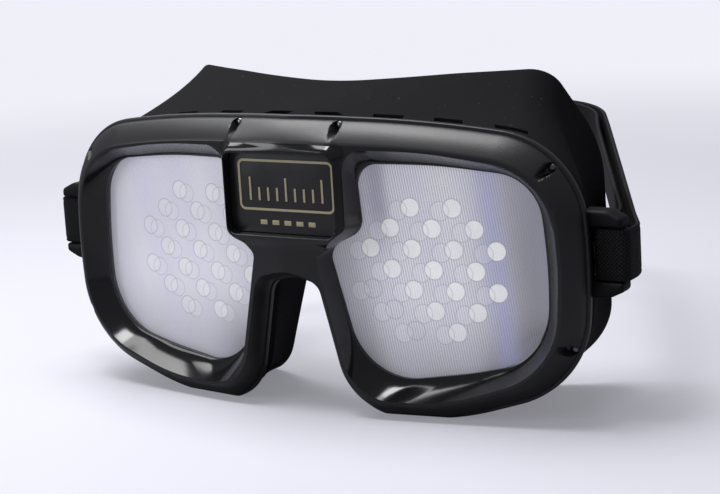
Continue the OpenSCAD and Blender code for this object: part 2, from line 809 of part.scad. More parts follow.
// The left return ply runs beside the headband through the slider and ends in a free tail
module return_ply_left() {
    bend = 28;
    color([0.06, 0.06, 0.065]) placed() mirror([1, 0, 0]) tilting_web(open_path([
        [inner_x, -knuckle_r],
        [inner_x, 8, 12],
        [tail_x(bend), bend, 15],
        [tail_x(tail_end), tail_end]
    ], 8));
}

module strap_slider() {
    inside = ply_pitch + ply_room;
    tall = strap_w + 2 * edge_gap;
    color([0.08, 0.08, 0.085]) placed() mirror([1, 0, 0]) tilted()
        translate([(run_x(slider_at) + tail_x(slider_at)) / 2, slider_at, 0]) rotate([0, 0, run_angle])
            rotate([90, 0, 0]) linear_extrude(slider_l, center = true) difference() {
                polygon(rounded([
                    [-inside / 2 - slider_wall, tall / 2 + slider_wall, 1.5],
                    [inside / 2 + slider_wall, tall / 2 + slider_wall, 1.5],
                    [inside / 2 + slider_wall, -tall / 2 - slider_wall, 1.5],
                    [-inside / 2 - slider_wall, -tall / 2 - slider_wall, 1.5]
                ], [5, 5, 5, 5]));
                for (s = [-1, 1])
                    translate([s * ply_pitch / 2 - ply_room / 2, -tall / 2]) square([ply_room, tall]);
            }
}

// Sewn bars that close the webbing
stitch_t = 0.3;
stitch_w = 0.9;
stitch_margin = 1.5;

module stitch_bar() {
    translate([-stitch_w / 2, 0, -strap_w / 2 + stitch_margin])
        cube([stitch_w, stitch_t, strap_w - 2 * stitch_margin]);
}

module seam_stitching() {
    color([0.16, 0.16, 0.17]) placed() tilted() for (x = [seam_x + 1, seam_x + 2.5, seam_x + 4])
        translate([x, seam_y - strap_t / 2 - stitch_t, 0]) stitch_bar();
}

module tail_stitching() {
    color([0.16, 0.16, 0.17]) placed() mirror([1, 0, 0]) tilted() for (s = [tail_end - 1.5, tail_end - 3.5])
        translate([tail_x(s), s, 0]) rotate([0, 0, 90 + run_angle])
            translate([0, strap_t / 2, 0]) stitch_bar();
}

front_bezel();
face_shell();
name_plate();
plate_marks();
snap_studs();
cover_lens_right();
cover_lens_left();
groove_film_right();
groove_film_left();
disc_film_right();
disc_film_left();
lens_gasket_right();
lens_gasket_left();
strap_lug_right();
strap_lug_left();
strap_loop_right();
strap_loop_left();
headband();
return_ply_right();
return_ply_left();
strap_slider();
seam_stitching();
tail_stitching();
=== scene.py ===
"""Alcohol impairment goggles: the visible surfaces, built round the packed CAD frame.

Lengths are in millimetres with the origin on the lens seat plane until mesh_from moves them
into the frame. X runs across the face, -Y is the front, +Z is up, +X is called right.
"""

import bmesh
import bpy
import numpy as np
from mathutils import Matrix, Vector, geometry


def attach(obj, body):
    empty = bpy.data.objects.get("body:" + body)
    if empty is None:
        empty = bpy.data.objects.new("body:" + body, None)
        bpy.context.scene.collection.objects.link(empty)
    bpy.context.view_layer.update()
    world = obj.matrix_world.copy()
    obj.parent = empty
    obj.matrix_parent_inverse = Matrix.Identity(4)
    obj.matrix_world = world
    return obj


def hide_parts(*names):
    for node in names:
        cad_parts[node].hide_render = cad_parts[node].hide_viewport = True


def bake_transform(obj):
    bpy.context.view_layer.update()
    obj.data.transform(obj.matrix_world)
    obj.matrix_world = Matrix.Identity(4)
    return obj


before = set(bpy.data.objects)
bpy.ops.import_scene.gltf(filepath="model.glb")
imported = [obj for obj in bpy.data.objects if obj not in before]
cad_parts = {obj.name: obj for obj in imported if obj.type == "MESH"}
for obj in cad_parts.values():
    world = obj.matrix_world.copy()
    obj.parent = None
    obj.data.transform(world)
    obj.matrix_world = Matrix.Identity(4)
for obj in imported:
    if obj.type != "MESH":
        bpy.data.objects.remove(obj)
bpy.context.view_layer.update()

bl_info = {
    "name": "Impairment goggles",
    "version": (1, 0, 0),
    "blender": (4, 5, 0),
    "location": "View3D > Sidebar > Goggles",
    "description": "Surfaces and finishes of a pair of alcohol impairment goggles",
    "category": "Add Mesh",
}

MM = 0.001
SEAM = 2e-7  # metres
MID_Y = 79.746  # distance of the frame's origin behind the lens seat plane
FACE = "goggles"
BAND = "headband"


# Sizes and colours that a user would change

def length(name, description, default):
    return bpy.props.FloatProperty(name=name, description=description, default=default)


def shade(name, description, default):
    return bpy.props.FloatVectorProperty(name=name, description=description, default=default,
                                         subtype="COLOR", size=3, min=0, max=1)


class GoggleSizes(bpy.types.PropertyGroup):
    """Lengths in millimetres"""
    bezel_w: length("Bezel width", "Width of the bezel across its lip", 180.0)
    bezel_h: length("Bezel height", "Height of the bezel lip", 89.8)
    ridge_d: length("Ridge depth", "Depth of the ridge before the lens seat", 7.5)
    lens_w: length("Lens width", "Width of each aperture", 66.4)
    lens_h: length("Lens height", "Height of each aperture", 64.0)
    shell_wall: length("Shell wall", "Thickness of the face shell's wall", 1.6)
    strap_w: length("Webbing width", "Width of the headband webbing", 15.0)
    strap_t: length("Webbing thickness", "Thickness of the headband webbing", 1.4)
    groove_pitch: length("Groove pitch", "Distance between the fine grooves in the lenses", 0.78)
    spot_d: length("Spot diameter", "Diameter of the round lens spots", 5.7)


class GoggleColours(bpy.types.PropertyGroup):
    """Base colours"""
    bezel: shade("Bezel", "Glossy moulded frame", (0.0075, 0.0075, 0.009))
    shell: shade("Shell", "Soft face shell", (0.0095, 0.0094, 0.011))
    webbing: shade("Webbing", "Knitted elastic", (0.0065, 0.0065, 0.007))
    lens: shade("Lens film", "Frosted distortion film", (0.70, 0.69, 0.80))
    print: shade("Print", "Marks on the label plate", (0.52, 0.47, 0.30))


def sizes():
    return bpy.context.scene.goggle_sizes


def colours():
    return bpy.context.scene.goggle_colours


# Plane outlines: each corner is [x, z, radius], from the top middle down the right side

WRAP = np.tan(np.radians(8.0))  # the front falls back by this share of the distance from its middle
ARC = 40  # points in each rounded corner, and on each straight side
RIDGE_LAND = 0.7  # flat between the ridge and the mouth
RIM_HALF = 77.2  # half the face rim's width
MIRROR = np.array([-1, 1])


def lip_corners():
    """The bezel's outer edge, made whole. Its first nine corners are the right half."""
    s = sizes()
    w, h = s.bezel_w / 2, s.bezel_h
    return mirrored([
        [0, h, 400], [w / 2, h - 1.7, 400], [w - 2, h - 7.5, 28], [w + 0.3, h / 2 + 1.8, 200],
        [w - 1.4, 11.8, 30], [w - 41.6, -0.7, 80], [17.2, -0.5, 17], [9.2, 38.5, 6], [0, 41.2, 15]])


def ridge_corners():
    """The crest between the outer band and the lens mouths."""
    s = sizes()
    w, h = s.bezel_w / 2, s.bezel_h
    return [[0, h - 7.4, 400], [w / 2, h - 9.1, 280], [w - 7.6, h - 14.6, 22.4], [w - 5.3, h / 2 + 1.8, 140],
            [w - 7, 16.6, 25.4], [w - 42.6, 5.1, 74], [19.2, 5.3, 15.5], [11, 41, 6], [0, 44.5, 15]]


def lens_corners():
    """The right lens seat."""
    s = sizes()
    top, out = 11.4 + s.lens_h, 11.8 + s.lens_w
    return [[20.9, top + 0.1, 6.8], [12.9 + s.lens_w / 2, top - 0.1, 175], [out - 2.3, top - 3.4, 14.4],
            [out + 0.2, 46.1, 160], [out - 0.7, 19.1, 20], [out - 24.3, 13.9, 97], [21.2, 9.1, 18.8],
            [11.1, 49.8, 5.5], [22.4, 55.5, 5.5]]


def slope_corners():
    """The front edge of the right lens mouth."""
    r, n = ridge_corners(), RIDGE_LAND
    return [[20.8, r[0][1] - 1.2 - n, 6], [r[1][0], r[1][1] - n, 150],
            [r[2][0] - n, r[2][1] - n, r[2][2] - n], [r[3][0] - n, r[3][1], 120],
            [r[4][0] - n, r[4][1] + n, r[4][2] - n], [r[5][0] + 1, r[5][1] + n, 70],
            [r[6][0] + 1.1 * n, r[6][1] + n, 14.8], [10.7, 48.4, 3], [20.8, 56.9, 3]]


def rim_corners():
    """The face shell's rim, which lies on the wearer's face."""
    return [[0, 95.5, 200], [38.6, 97.6, 200], [63, 97.9, 9.5], [75.3, 74.5, 45], [76.6, 17, 20],
            [58.6, -0.5, 20], [26.2, -0.5, 15], [11.5, 44, 7], [0, 49, 15]]


def mirrored(half):
    """A half outline that starts and ends on the middle, made whole."""
    return list(half) + [[-x, z, r] for x, z, r in half[-2:0:-1]]


def unit(v):
    return v / np.linalg.norm(v, axis=-1, keepdims=True)


def outline(corners, n=ARC):
    """Each corner is a circular arc of n points, tangent to both its sides, and each side between
    arcs has n points at equal steps, so like lists give loops that match."""
    c = np.array(corners, float)
    p, r = c[:, :2], c[:, 2:]
    u, v = unit(np.roll(p, 1, 0) - p), unit(np.roll(p, -1, 0) - p)
    half = np.arccos(np.clip((u * v).sum(1, keepdims=True), -1, 1)) / 2
    centre = p + unit(u + v) * r / np.sin(half)
    start, end = p + u * r / np.tan(half) - centre, p + v * r / np.tan(half) - centre
    a = np.arctan2(start[:, 1], start[:, 0])
    sweep = (np.arctan2(end[:, 1], end[:, 0]) - a + np.pi) % (2 * np.pi) - np.pi
    angle = a[:, None] + sweep[:, None] * np.linspace(0, 1, n)
    arcs = centre[:, None] + r[:, None] * np.stack([np.cos(angle), np.sin(angle)], -1)
    t = (np.arange(n) + 0.5)[:, None] / n
    sides = arcs[:, -1][:, None] * (1 - t) + np.roll(arcs[:, 0], -1, 0)[:, None] * t
    return np.concatenate([arcs, sides], 1).reshape(-1, 2)


def grown(corners, g):
    """Every corner moves out along both its sides' normals by g, and its radius follows."""
    c = np.array(corners, float)
    p = c[:, :2]
    u, v = unit(p - np.roll(p, 1, 0)), unit(np.roll(p, -1, 0) - p)
    n1, n2 = np.stack([-u[:, 1], u[:, 0]], 1), np.stack([-v[:, 1], v[:, 0]], 1)
    q = p + (n1 + n2) * g / (1 + (n1 * n2).sum(1, keepdims=True))
    convex = u[:, 0] * v[:, 1] - u[:, 1] * v[:, 0] < 0
    r = np.maximum(0.05, c[:, 2] + np.where(convex, g, -g))
    return np.column_stack([q, r]).tolist()


def spaced(loop, step):
    """Index positions along a closed loop at equal distances of about step."""
    d = np.linalg.norm(np.roll(loop, -1, 0) - loop, axis=1)
    s = np.concatenate([[0], np.cumsum(d)])
    n = int(s[-1] / step)
    return np.interp(np.linspace(0, s[-1], n, endpoint=False), s, np.arange(len(s)))


def at(loop, q):
    """Points of a closed loop at index positions q, by straight steps between its points."""
    closed = np.vstack([loop, loop[:1]])
    i = np.arange(len(closed))
    return np.stack([np.interp(q, i, closed[:, k]) for k in range(loop.shape[1])], 1)


def soft_x(x):
    """The wrapped front's distance from the middle, rounded over its crease: sqrt(x^2 + 3^2)."""
    return np.sqrt(x * x + 9.0)


def laid(loop, depth):
    """A front view loop in space, at one depth for each of its points."""
    return np.stack([loop[:, 0], depth, loop[:, 1]], 1)


def deep(loop, y):
    """A front view loop laid at depth y on the wrapped front."""
    return laid(loop, y + soft_x(loop[:, 0]) * WRAP)


def grounded(loop):
    """A front view loop cut flat where it would pass under the floor."""
    return np.stack([loop[:, 0], np.maximum(loop[:, 1], 0)], 1)


def to_loop(points, loop):
    """Least distance from each point to a closed loop's sides."""
    a, d = loop, np.roll(loop, -1, 0) - loop
    best = np.full(len(points), 1e9)
    for part in np.array_split(np.arange(len(points)), max(1, len(points) // 4000)):
        v = points[part][:, None] - a[None]
        t = np.clip((v * d).sum(2) / np.maximum((d * d).sum(1), 1e-12), 0, 1)
        best[part] = np.sqrt(((v - t[..., None] * d) ** 2).sum(2).min(1))
    return best


def inside(points, loop):
    """Even and odd crossings of a ray along X tell what lies inside a closed loop."""
    a, b = loop, np.roll(loop, -1, 0)
    x, z = points[:, :1], points[:, 1:]
    cross = (a[:, 1] > z) != (b[:, 1] > z)
    rise = np.where(b[:, 1] == a[:, 1], 1e-9, b[:, 1] - a[:, 1])
    at_x = a[:, 0] + (z - a[:, 1]) * (b[:, 0] - a[:, 0]) / rise
    return (cross & (x < at_x)).sum(1) % 2 == 1


def within(points, loops):
    """Which points lie inside the first loop and outside the others."""
    return inside(points, loops[0]) & ~np.any([inside(points, loop) for loop in loops[1:]], 0)


def smooth(t):
    """3 t^2 - 2 t^3 between 0 and 1."""
    t = np.clip(t, 0, 1)
    return t * t * (3 - 2 * t)


# Surfaces

def grid(rows, closed=True):
    """Rows of points joined to their neighbours. A closed grid joins each row's ends."""
    rows = np.array(rows)
    m, n = rows.shape[:2]
    j, i = np.meshgrid(np.arange(m - 1), np.arange(n if closed else n - 1), indexing="ij")
    k = (i + 1) % n
    quads = np.stack([j * n + i, j * n + k, (j + 1) * n + k, (j + 1) * n + i], -1).reshape(-1, 4)
    return rows.reshape(-1, 3), quads.tolist()


def filled(loops, place, step=None):
    """The plane area inside the first loop and outside the others, as triangles over the loops'
    own points and, where a step is given, over a lattice between them. place lays it in space.
    Triangles on a loop's side are kept by the way the side runs, so thin ones aren't lost."""
    points = np.vstack(loops)
    edges, first = [], 0
    for loop in loops:
        i = np.arange(len(loop))
        edges.append(np.stack([first + i, first + (i + 1) % len(loop)], 1))
        first += len(loop)
    if step:
        lo, hi = loops[0].min(0), loops[0].max(0)
        xs, zs = np.meshgrid(np.arange(lo[0], hi[0], step), np.arange(lo[1], hi[1], step * 0.87))
        xs = xs + (np.arange(len(xs)) % 2)[:, None] * step / 2
        lattice = np.stack([xs.ravel(), zs.ravel()], 1)
        lattice = lattice[within(lattice, loops)]
        clear = np.min([to_loop(lattice, loop) for loop in loops], 0) > step * 0.45
        points = np.vstack([points, lattice[clear]])
    out, _, faces, sources = geometry.delaunay_2d_cdt(
        [Vector(p) for p in points], np.vstack(edges).tolist(), [], 0, 1e-7)[:4]
    out = np.array([tuple(v) for v in out])
    faces = np.array(faces)
    keep = within(out[faces].mean(1), loops)
    index = np.zeros(len(points), int)
    for new, old in enumerate(sources):
        index[old] = new
    sides = faces * len(out) + np.roll(faces, -1, 1)
    for loop, pairs in zip(loops, edges):
        a, b = index[pairs].T
        ahead, behind = a * len(out) + b, b * len(out) + a
        after = np.roll(loop, -1, 0)
        leftward = np.sum(loop[:, 0] * after[:, 1] - after[:, 0] * loop[:, 1]) > 0
        solid, void = (ahead, behind) if leftward == (loop is loops[0]) else (behind, ahead)
        keep[np.isin(sides, void).any(1)] = False
        keep[np.isin(sides, solid).any(1)] = True
    return place(out), faces[keep].tolist()


def placed(name, data):
    """A new object in the scene."""
    made = bpy.data.objects.new(name, data)
    bpy.context.scene.collection.objects.link(made)
    return made


def mesh_from(name, patches, material, body, replaces, sharp=32, fields=None):
    """A piece of patches in millimetres, joined where points lie within SEAM, faces outwards."""
    mesh = bpy.data.meshes.new(name)
    first, points, faces = 0, [], []
    for verts, quads in patches:
        points.append(np.asarray(verts, float))
        faces += [[i + first for i in q] for q in quads]
        first += len(verts)
    points = (np.vstack(points) - (0, MID_Y, 0)) * MM
    mesh.from_pydata(points.tolist(), [], faces)
    for field, values in (fields or {}).items():
        values = np.asarray(values, np.float32)
        wide = values.ndim == 2
        layer = mesh.attributes.new(field, "FLOAT_VECTOR" if wide else "FLOAT", "POINT")
        layer.data.foreach_set("vector" if wide else "value", values.ravel())
    work = bmesh.new()
    work.from_mesh(mesh)
    bmesh.ops.remove_doubles(work, verts=work.verts, dist=SEAM)
    bmesh.ops.dissolve_degenerate(work, edges=work.edges, dist=SEAM / 2)
    bmesh.ops.recalc_face_normals(work, faces=work.faces)
    work.to_mesh(mesh)
    work.free()
    mesh.shade_smooth()
    mesh.set_sharp_from_angle(angle=np.radians(sharp))
    piece = placed(name, mesh)
    mesh.materials.append(material)
    if body:
        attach(piece, body)
    if replaces:
        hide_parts(*replaces)
    return piece


def flip(patch):
    """A patch mirrored from the right side to the left."""
    verts, faces = patch
    return np.asarray(verts) * (-1, 1, 1), [list(reversed(f)) for f in faces]


def both(patches):
    return patches + [flip(p) for p in patches]


def prism(corners, y0, y1, r, place, n=10):
    """An outline carried from depth y0 to y1. Near both ends it draws in by r(1 - sin a) while
    the depth runs r(1 - cos a), which rounds its edges, and flat faces close it."""
    a = np.linspace(0, np.pi / 2, 5)
    steps = [(r * (1 - np.sin(t)), y0 + r * (1 - np.cos(t))) for t in a]
    steps += [(r * (1 - np.sin(t)), y1 - r * (1 - np.cos(t))) for t in a[::-1]]
    loops = [outline(grown(corners, -inset), n) for inset, _ in steps]
    rows = [place(loop, depth) for loop, (_, depth) in zip(loops, steps)]
    caps = [filled([loops[k]], lambda p, d=steps[k][1]: place(p, d)) for k in (0, -1)]
    return [grid(rows), *caps]


def front(points, depth):
    """A front view shape at one depth, square to the viewer."""
    return laid(points, np.full(len(points), float(depth)))


def box(x, z, w, h, r):
    """Corners of an upright rectangle round the middle x, z."""
    a, b, top, foot = x - w / 2, x + w / 2, z + h / 2, z - h / 2
    return [[a, top, r], [b, top, r], [b, foot, r], [a, foot, r]]


def end_caps(rows):
    """Flat faces that close the first and the last row of a tube."""
    ring = list(range(len(rows[0])))
    return [(rows[0], [ring[::-1]]), (rows[-1], [ring])]


# Finishes

class Wire:
    """A shader socket on which plain arithmetic adds Math nodes"""

    def __init__(self, owner, socket):
        self.owner, self.socket = owner, socket

    def maths(self, operation, *values):
        return self.owner.wire("Math", dict(enumerate(values)), operation=operation)

    def __add__(self, other): return self.maths("ADD", self, other)
    def __radd__(self, other): return self.maths("ADD", other, self)
    def __sub__(self, other): return self.maths("SUBTRACT", self, other)
    def __rsub__(self, other): return self.maths("SUBTRACT", other, self)
    def __mul__(self, other): return self.maths("MULTIPLY", self, other)
    def __rmul__(self, other): return self.maths("MULTIPLY", other, self)
    def sine(self): return self.maths("SINE", self)
    def size(self): return self.maths("ABSOLUTE", self)
    def root(self): return self.maths("SQRT", self)
    def least(self, other): return self.maths("MINIMUM", self, other)
    def most(self, other): return self.maths("MAXIMUM", self, other)

    def fade(self, low, high, start=0.0, end=1.0):
        """Runs smoothly from start at low to end at high, and stays there outside."""
        sockets = {"Value": self, "From Min": low, "From Max": high, "To Min": start, "To Max": end}
        return self.owner.wire("MapRange", sockets, interpolation_type="SMOOTHSTEP")


class Wiring:
    """Short calls that add nodes to one node tree"""

    def __init__(self, tree):
        self.tree = tree

    def node(self, kind, inputs=None, **settings):
        """Adds a shader node: its settings first, then its sockets."""
        made = self.tree.nodes.new("ShaderNode" + kind)
        for key, value in settings.items():
            setattr(made, key, value)
        for key, value in (inputs or {}).items():
            self.join(made.inputs[key], value)
        return made

    def join(self, socket, value):
        if isinstance(value, Wire):
            self.tree.links.new(value.socket, socket)
        else:
            socket.default_value = value

    def wire(self, kind, inputs=None, out=0, **settings):
        return Wire(self, self.node(kind, inputs, **settings).outputs[out])

    def seen(self):
        """1 on rays that come straight from the camera or pass through glass."""
        rays = self.node("LightPath")
        return Wire(self, rays.outputs["Is Camera Ray"]).most(Wire(self, rays.outputs["Is Transmission Ray"]))


class Finish(Wiring):
    """One material with its shader"""

    def __init__(self, name, colour, rough, **shader):
        self.material = bpy.data.materials.new(name)
        self.material.use_nodes = True
        super().__init__(self.material.node_tree)
        self.shader = self.tree.nodes["Principled BSDF"]
        self.colour = tuple(colour)
        self.feed(Base_Color=(*colour, 1), Roughness=rough, **shader)

    def feed(self, **inputs):
        """Sets the shader's sockets, with _ for each space in their names."""
        for key, value in inputs.items():
            self.join(self.shader.inputs[key.replace("_", " ")], value)
        return self.material

    def place(self, centre=(0, 0, 0), scale=(1, 1, 1)):
        """Object coordinates, centred and scaled by a Mapping node."""
        spot = self.wire("TexCoord", out="Object")
        return self.wire("Mapping", {"Vector": spot, "Location": centre, "Scale": scale},
                         vector_type="TEXTURE")

    def axes(self, vector):
        apart = self.node("SeparateXYZ", {0: vector})
        return [Wire(self, apart.outputs[k]) for k in range(3)]

    def field(self, name, out="Fac"):
        return self.wire("Attribute", out=out, attribute_name=name)

    def noise(self, scale, detail, vector=None):
        return self.wire("TexNoise", {"Vector": vector or self.place(), "Scale": scale, "Detail": detail})

    def mix(self, factor, a, b):
        """Mixes two colours by a factor."""
        a, b = (c if isinstance(c, Wire) else (*c, 1) for c in (a, b))
        return self.wire("Mix", {0: factor, 6: a, 7: b}, out=2, data_type="RGBA")

    def shades(self, factor, low, high):
        """Mixes two shades of the finish's own colour."""
        return self.mix(factor, tinted(self.colour, low), tinted(self.colour, high))

    def bump(self, height, distance, strength):
        return self.wire("Bump", {"Height": height, "Distance": distance, "Strength": strength})


def tinted(colour, share):
    """A colour made lighter or darker."""
    return tuple(min(1.0, c * share) for c in colour)


def bezel_finish():
    """Glossy black moulding: polished inside the ridge, with a satin grain on the outer band."""
    f = Finish("bezel_gloss_black", colours().bezel, 0.2, Coat_Roughness=0.05)
    satin = f.field("satin")
    grain = f.noise(2600, 3)
    broad = f.noise(45, 3)
    fine = f.noise(900, 2)
    return f.feed(Base_Color=f.shades(satin * 0.8 + broad * 0.2, 1, 1.9),
                  Roughness=0.09 + broad * 0.08 + satin * 0.23 + satin * fine * 0.07,
                  Normal=f.bump(grain * satin + fine * 0.15, 0.00006, 0.5))


DUST_GREY = (0.16, 0.16, 0.17)


def shell_finish():
    """Soft matte moulding, cloudy where it has been handled, with fine dust."""
    f = Finish("shell_matte_black", colours().shell, 0.52, Specular_IOR_Level=0.05)
    cloud = f.noise(28, 4)
    grain = f.noise(1500, 2)
    dust = f.noise(620, 1).fade(0.745, 0.775)
    return f.feed(Base_Color=f.mix(dust * 0.2, f.shades(cloud, 0.75, 1.35), DUST_GREY),
                  Roughness=0.72 + cloud * 0.16 + dust * 0.1,
                  Normal=f.bump(grain, 0.00007, 0.35))


def lug_finish():
    """Smooth black moulding of the lugs and the slider, a little worn."""
    f = Finish("lug_moulded_black", tinted(colours().shell, 0.7), 0.5, Specular_IOR_Level=0.12)
    grain = f.noise(1100, 2)
    wear = f.noise(90, 3)
    return f.feed(Base_Color=f.shades(wear, 0.8, 1.5), Roughness=0.4 + wear * 0.2,
                  Normal=f.bump(grain, 0.0001, 0.4))


def grained_finish(name, rough, scale, detail, light, rise, strength):
    """A deep grey that a fine grain shades up to the share light and lifts by rise in metres."""
    f = Finish(name, (0.02, 0.02, 0.022), rough)
    grain = f.noise(scale, detail)
    return f.feed(Base_Color=f.shades(grain, 0.6, light), Normal=f.bump(grain, rise, strength))


def gasket_finish():
    return grained_finish("gasket_foam_black", 0.8, 2200, 2, 1.6, 0.00015, 0.6)


def thread_finish():
    return grained_finish("thread_twisted_black", 0.6, 3200, 1, 2.2, 0.0001, 0.7)


def plate_finish():
    f = Finish("plate_satin_black", (0.012, 0.012, 0.014), 0.3)
    cloud = f.noise(160, 3)
    return f.feed(Roughness=0.24 + cloud * 0.12, Base_Color=f.shades(cloud, 0.8, 1.5))


def print_finish():
    f = Finish("print_pale_gold", colours().print, 0.36, Metallic=0.25)
    speck = f.noise(2600, 2)
    return f.feed(Base_Color=f.shades(speck, 0.86, 1.1), Roughness=0.3 + speck * 0.15)


def stud_finish():
    f = Finish("stud_worn_steel", (0.2, 0.2, 0.22), 0.25, Metallic=1.0)
    wear = f.noise(900, 3)
    return f.feed(Roughness=0.18 + wear * 0.25, Base_Color=f.mix(wear, (0.24, 0.24, 0.26), (0.1, 0.1, 0.11)))


TURN = 6.2832  # a full turn, in radians
RIB_PITCH, ROW_PITCH, DIAMOND_PITCH, EDGE_PITCH = 0.75, 0.9, 1.15, 0.8  # of the knit, in millimetres


def webbing_finish():
    """Knitted elastic. Its own length and width carry the stitches: fine ribs along the runs and
    crossed diamonds on the front plies, with plain woven edges."""
    f = Finish("webbing_knit_black", colours().webbing, 0.7, Specular_IOR_Level=0.15)
    along, across, coarse = f.axes(f.field("weave", "Vector"))
    a, b = along * 1000.0, across * 1000.0
    up = ((a + b) * (TURN / 2 / DIAMOND_PITCH)).sine().size()
    down = ((a - b) * (TURN / 2 / DIAMOND_PITCH)).sine().size()
    diamond = up.least(down)
    waved = a + (b * (TURN / 2 / RIB_PITCH)).sine()
    rib = ((b * (TURN / RIB_PITCH)).sine() * 0.5 + 0.5) * ((waved * (TURN / ROW_PITCH)).sine() * 0.5 + 0.5)
    edge = b.size().fade(6.2, 6.6)
    knit = rib * (1 - coarse) + diamond * 1.2 * coarse
    knit = knit * (1 - edge) + ((a * (TURN / EDGE_PITCH)).sine() * 0.5 + 0.5) * 0.7 * edge
    fuzz = f.noise(2400, 3)
    # The colour follows the knit's relief: painted shade in the hollows between the stitches, with random
    # tone from the fuzz.
    return f.feed(Base_Color=f.shades(knit * 0.8 + fuzz * 0.2, 0.35, 2.6),
                  Roughness=0.5 + fuzz * 0.25, Normal=f.bump(knit + fuzz * 0.25, 0.00035, 0.9))


def glass_finish():
    """Clear front pane: only its reflections show over the films."""
    f = Finish("pane_clear", (0.9, 0.9, 0.96), 0.05, IOR=1.45)
    haze = f.noise(30, 3)
    return f.feed(Alpha=0.10 + haze * 0.04, Roughness=0.04 + haze * 0.05)


ROW_COUNTS = (2, 3, 4, 3, 4, 3, 2)  # round spots in each row of the lattice, from the top
SPOTS = [((count - 1) / 2 - k, 3 - row) for row, count in enumerate(ROW_COUNTS) for k in range(count)]
ROW_STEP = 6.15  # between rows, in millimetres
GROOVE_LEAN, BEAT_LEAN, BEAT_PITCH = 0.16, 0.26, 17.0  # of the grooves and of their broad beats
# The right film's painted bands of light and shade: middle, reach, strength, heights over which they come in,
# colour
PAINTED_BANDS = [(65.5, 6.0, 0.5, (0, 1), (0.46, 0.48, 0.86)), (53.0, 9.0, 0.55, (26, 50), (1.0, 0.99, 1.0)),
         (31.5, 4.5, 0.55, (50, 62), (0.34, 0.34, 0.50))]


def spots_at(x, z, middle, pitch, radius):
    """The staggered lattice of round spots: the filled spots and their rims."""
    near = None
    for col, row in SPOTS:
        u = x - (middle[0] + col * pitch)
        v = z - (middle[1] + row * ROW_STEP)
        d = u * u + v * v
        near = d if near is None else near.least(d)
    near = near.root()
    disc = near.fade(radius - 0.22, radius + 0.08, 1, 0)
    rim = (near - radius).size().fade(0.04, 0.3, 1, 0)
    return disc, rim


def film_finish(name, side):
    """Frosted film with fine, nearly upright grooves, bands of shade and faint second images
    of the round spots. The right side is in more shade than the left."""
    s, right = sizes(), side > 0
    f = Finish(name, colours().lens, 0.4)
    px, _, pz = f.axes(f.place())
    x, z = px * 1000.0, pz * 1000.0
    out = x * side
    groove = ((x + z * GROOVE_LEAN) * (TURN / s.groove_pitch)).sine() * 0.5 + 0.5
    wave = f.noise(22, 3, f.place(scale=(1, 1, 2.6)))
    haze = f.noise(60, 4)
    beat = ((x + z * BEAT_LEAN) * (TURN / BEAT_PITCH)).sine() * 0.5 + 0.5
    # Painted shade: on the right it darkens towards the outer side, the bottom and the nose; on the left
    # towards the bottom, the nose and the outer edge.
    if right:
        middle, pitch, drift = (42.6, 43.8), 12.85, -3.9
        painted_shade = out.fade(48, 74) * 0.85 + z.fade(6, 36, 1, 0) * 0.6 + out.fade(12, 32, 1, 0) * 0.5
    else:
        middle, pitch, drift = (-39.9, 45.1), 13.75, 2.9
        low = z.fade(6, 40, 1, 0)
        painted_shade = low * 0.5 + out.fade(16, 42, 1, 0) * (low * 0.6 + 0.15) + out.fade(64, 80) * 0.2
    discs, rims = spots_at(x, z, middle, pitch, s.spot_d / 2)
    # Painted second images of the spots, offset from them as light through the layered films shows them.
    ghosts, ghost_rims = spots_at(x, z, (middle[0] + drift, middle[1] - 0.9), pitch, s.spot_d / 2)
    painted_shade = painted_shade.least(1.0)
    ground = f.shades(painted_shade, 1.35, 0.2)
    ground = f.mix(wave.fade(0.42, 0.66) * (1 - painted_shade) * 0.5, ground, (0.80, 0.81, 0.93))
    ground = f.mix(beat * 0.14, ground, (0.60, 0.62, 0.90))
    # Painted bands of light and shade, running nearly upright over the right film.
    if right:
        for centre, reach, strength, heights, tint in PAINTED_BANDS:
            band = (x + z * 0.08 - centre).size().fade(0.5, reach, strength, 0.0)
            ground = f.mix(band * z.fade(*heights), ground, tint)
    ground = f.mix(groove * (0.6 if right else 0.16), ground, tinted(f.colour, 0.4))
    # The painted second images: pale spots, with their darker rims mixed in below.
    ground = f.mix(ghosts * 0.2, ground, (0.94, 0.94, 1.0))
    patchy = haze.fade(0.36, 0.58)
    if right:
        # Three spots low on the nose side lose their white to painted shade, and the white is weaker towards
        # the bottom.
        shaded_spots = ((middle[0] - x) * 0.69 + (middle[1] - z) * 0.72).fade(11, 15)
        white = discs * (1 - shaded_spots) * (0.75 + patchy * 0.25) * z.fade(22, 42, 0.6, 1.0)
    else:
        white = discs * (0.25 + patchy * 0.4)
    ground = f.mix(white, ground, (1.0, 1.0, 1.0))
    ground = f.mix((rims + ghost_rims * 0.7).least(1.0) * 0.42, ground, tinted(f.colour, 0.38))
    # The colour, painted shade included, also glows: a painted stand-in for the light that comes through the
    # films from behind.
    return f.feed(Base_Color=ground, Emission_Color=ground, Emission_Strength=0.38 if right else 0.28,
                  Roughness=0.32 + haze * 0.14, Normal=f.bump(groove, 0.00008, 0.25))


# Pieces

BAND_FOOT = 0.14  # share of the band left to the flat ledge at the lip
LIP_FRONT, LIP_BACK = -0.8, 1.0  # depths of the lip's two faces
SHELL_INSET = 1.6  # step from the lip's edge in to the shell
PLATE_FACE, PLATE_SEAT = -4.2, -3.42  # depths of the label plate's two faces


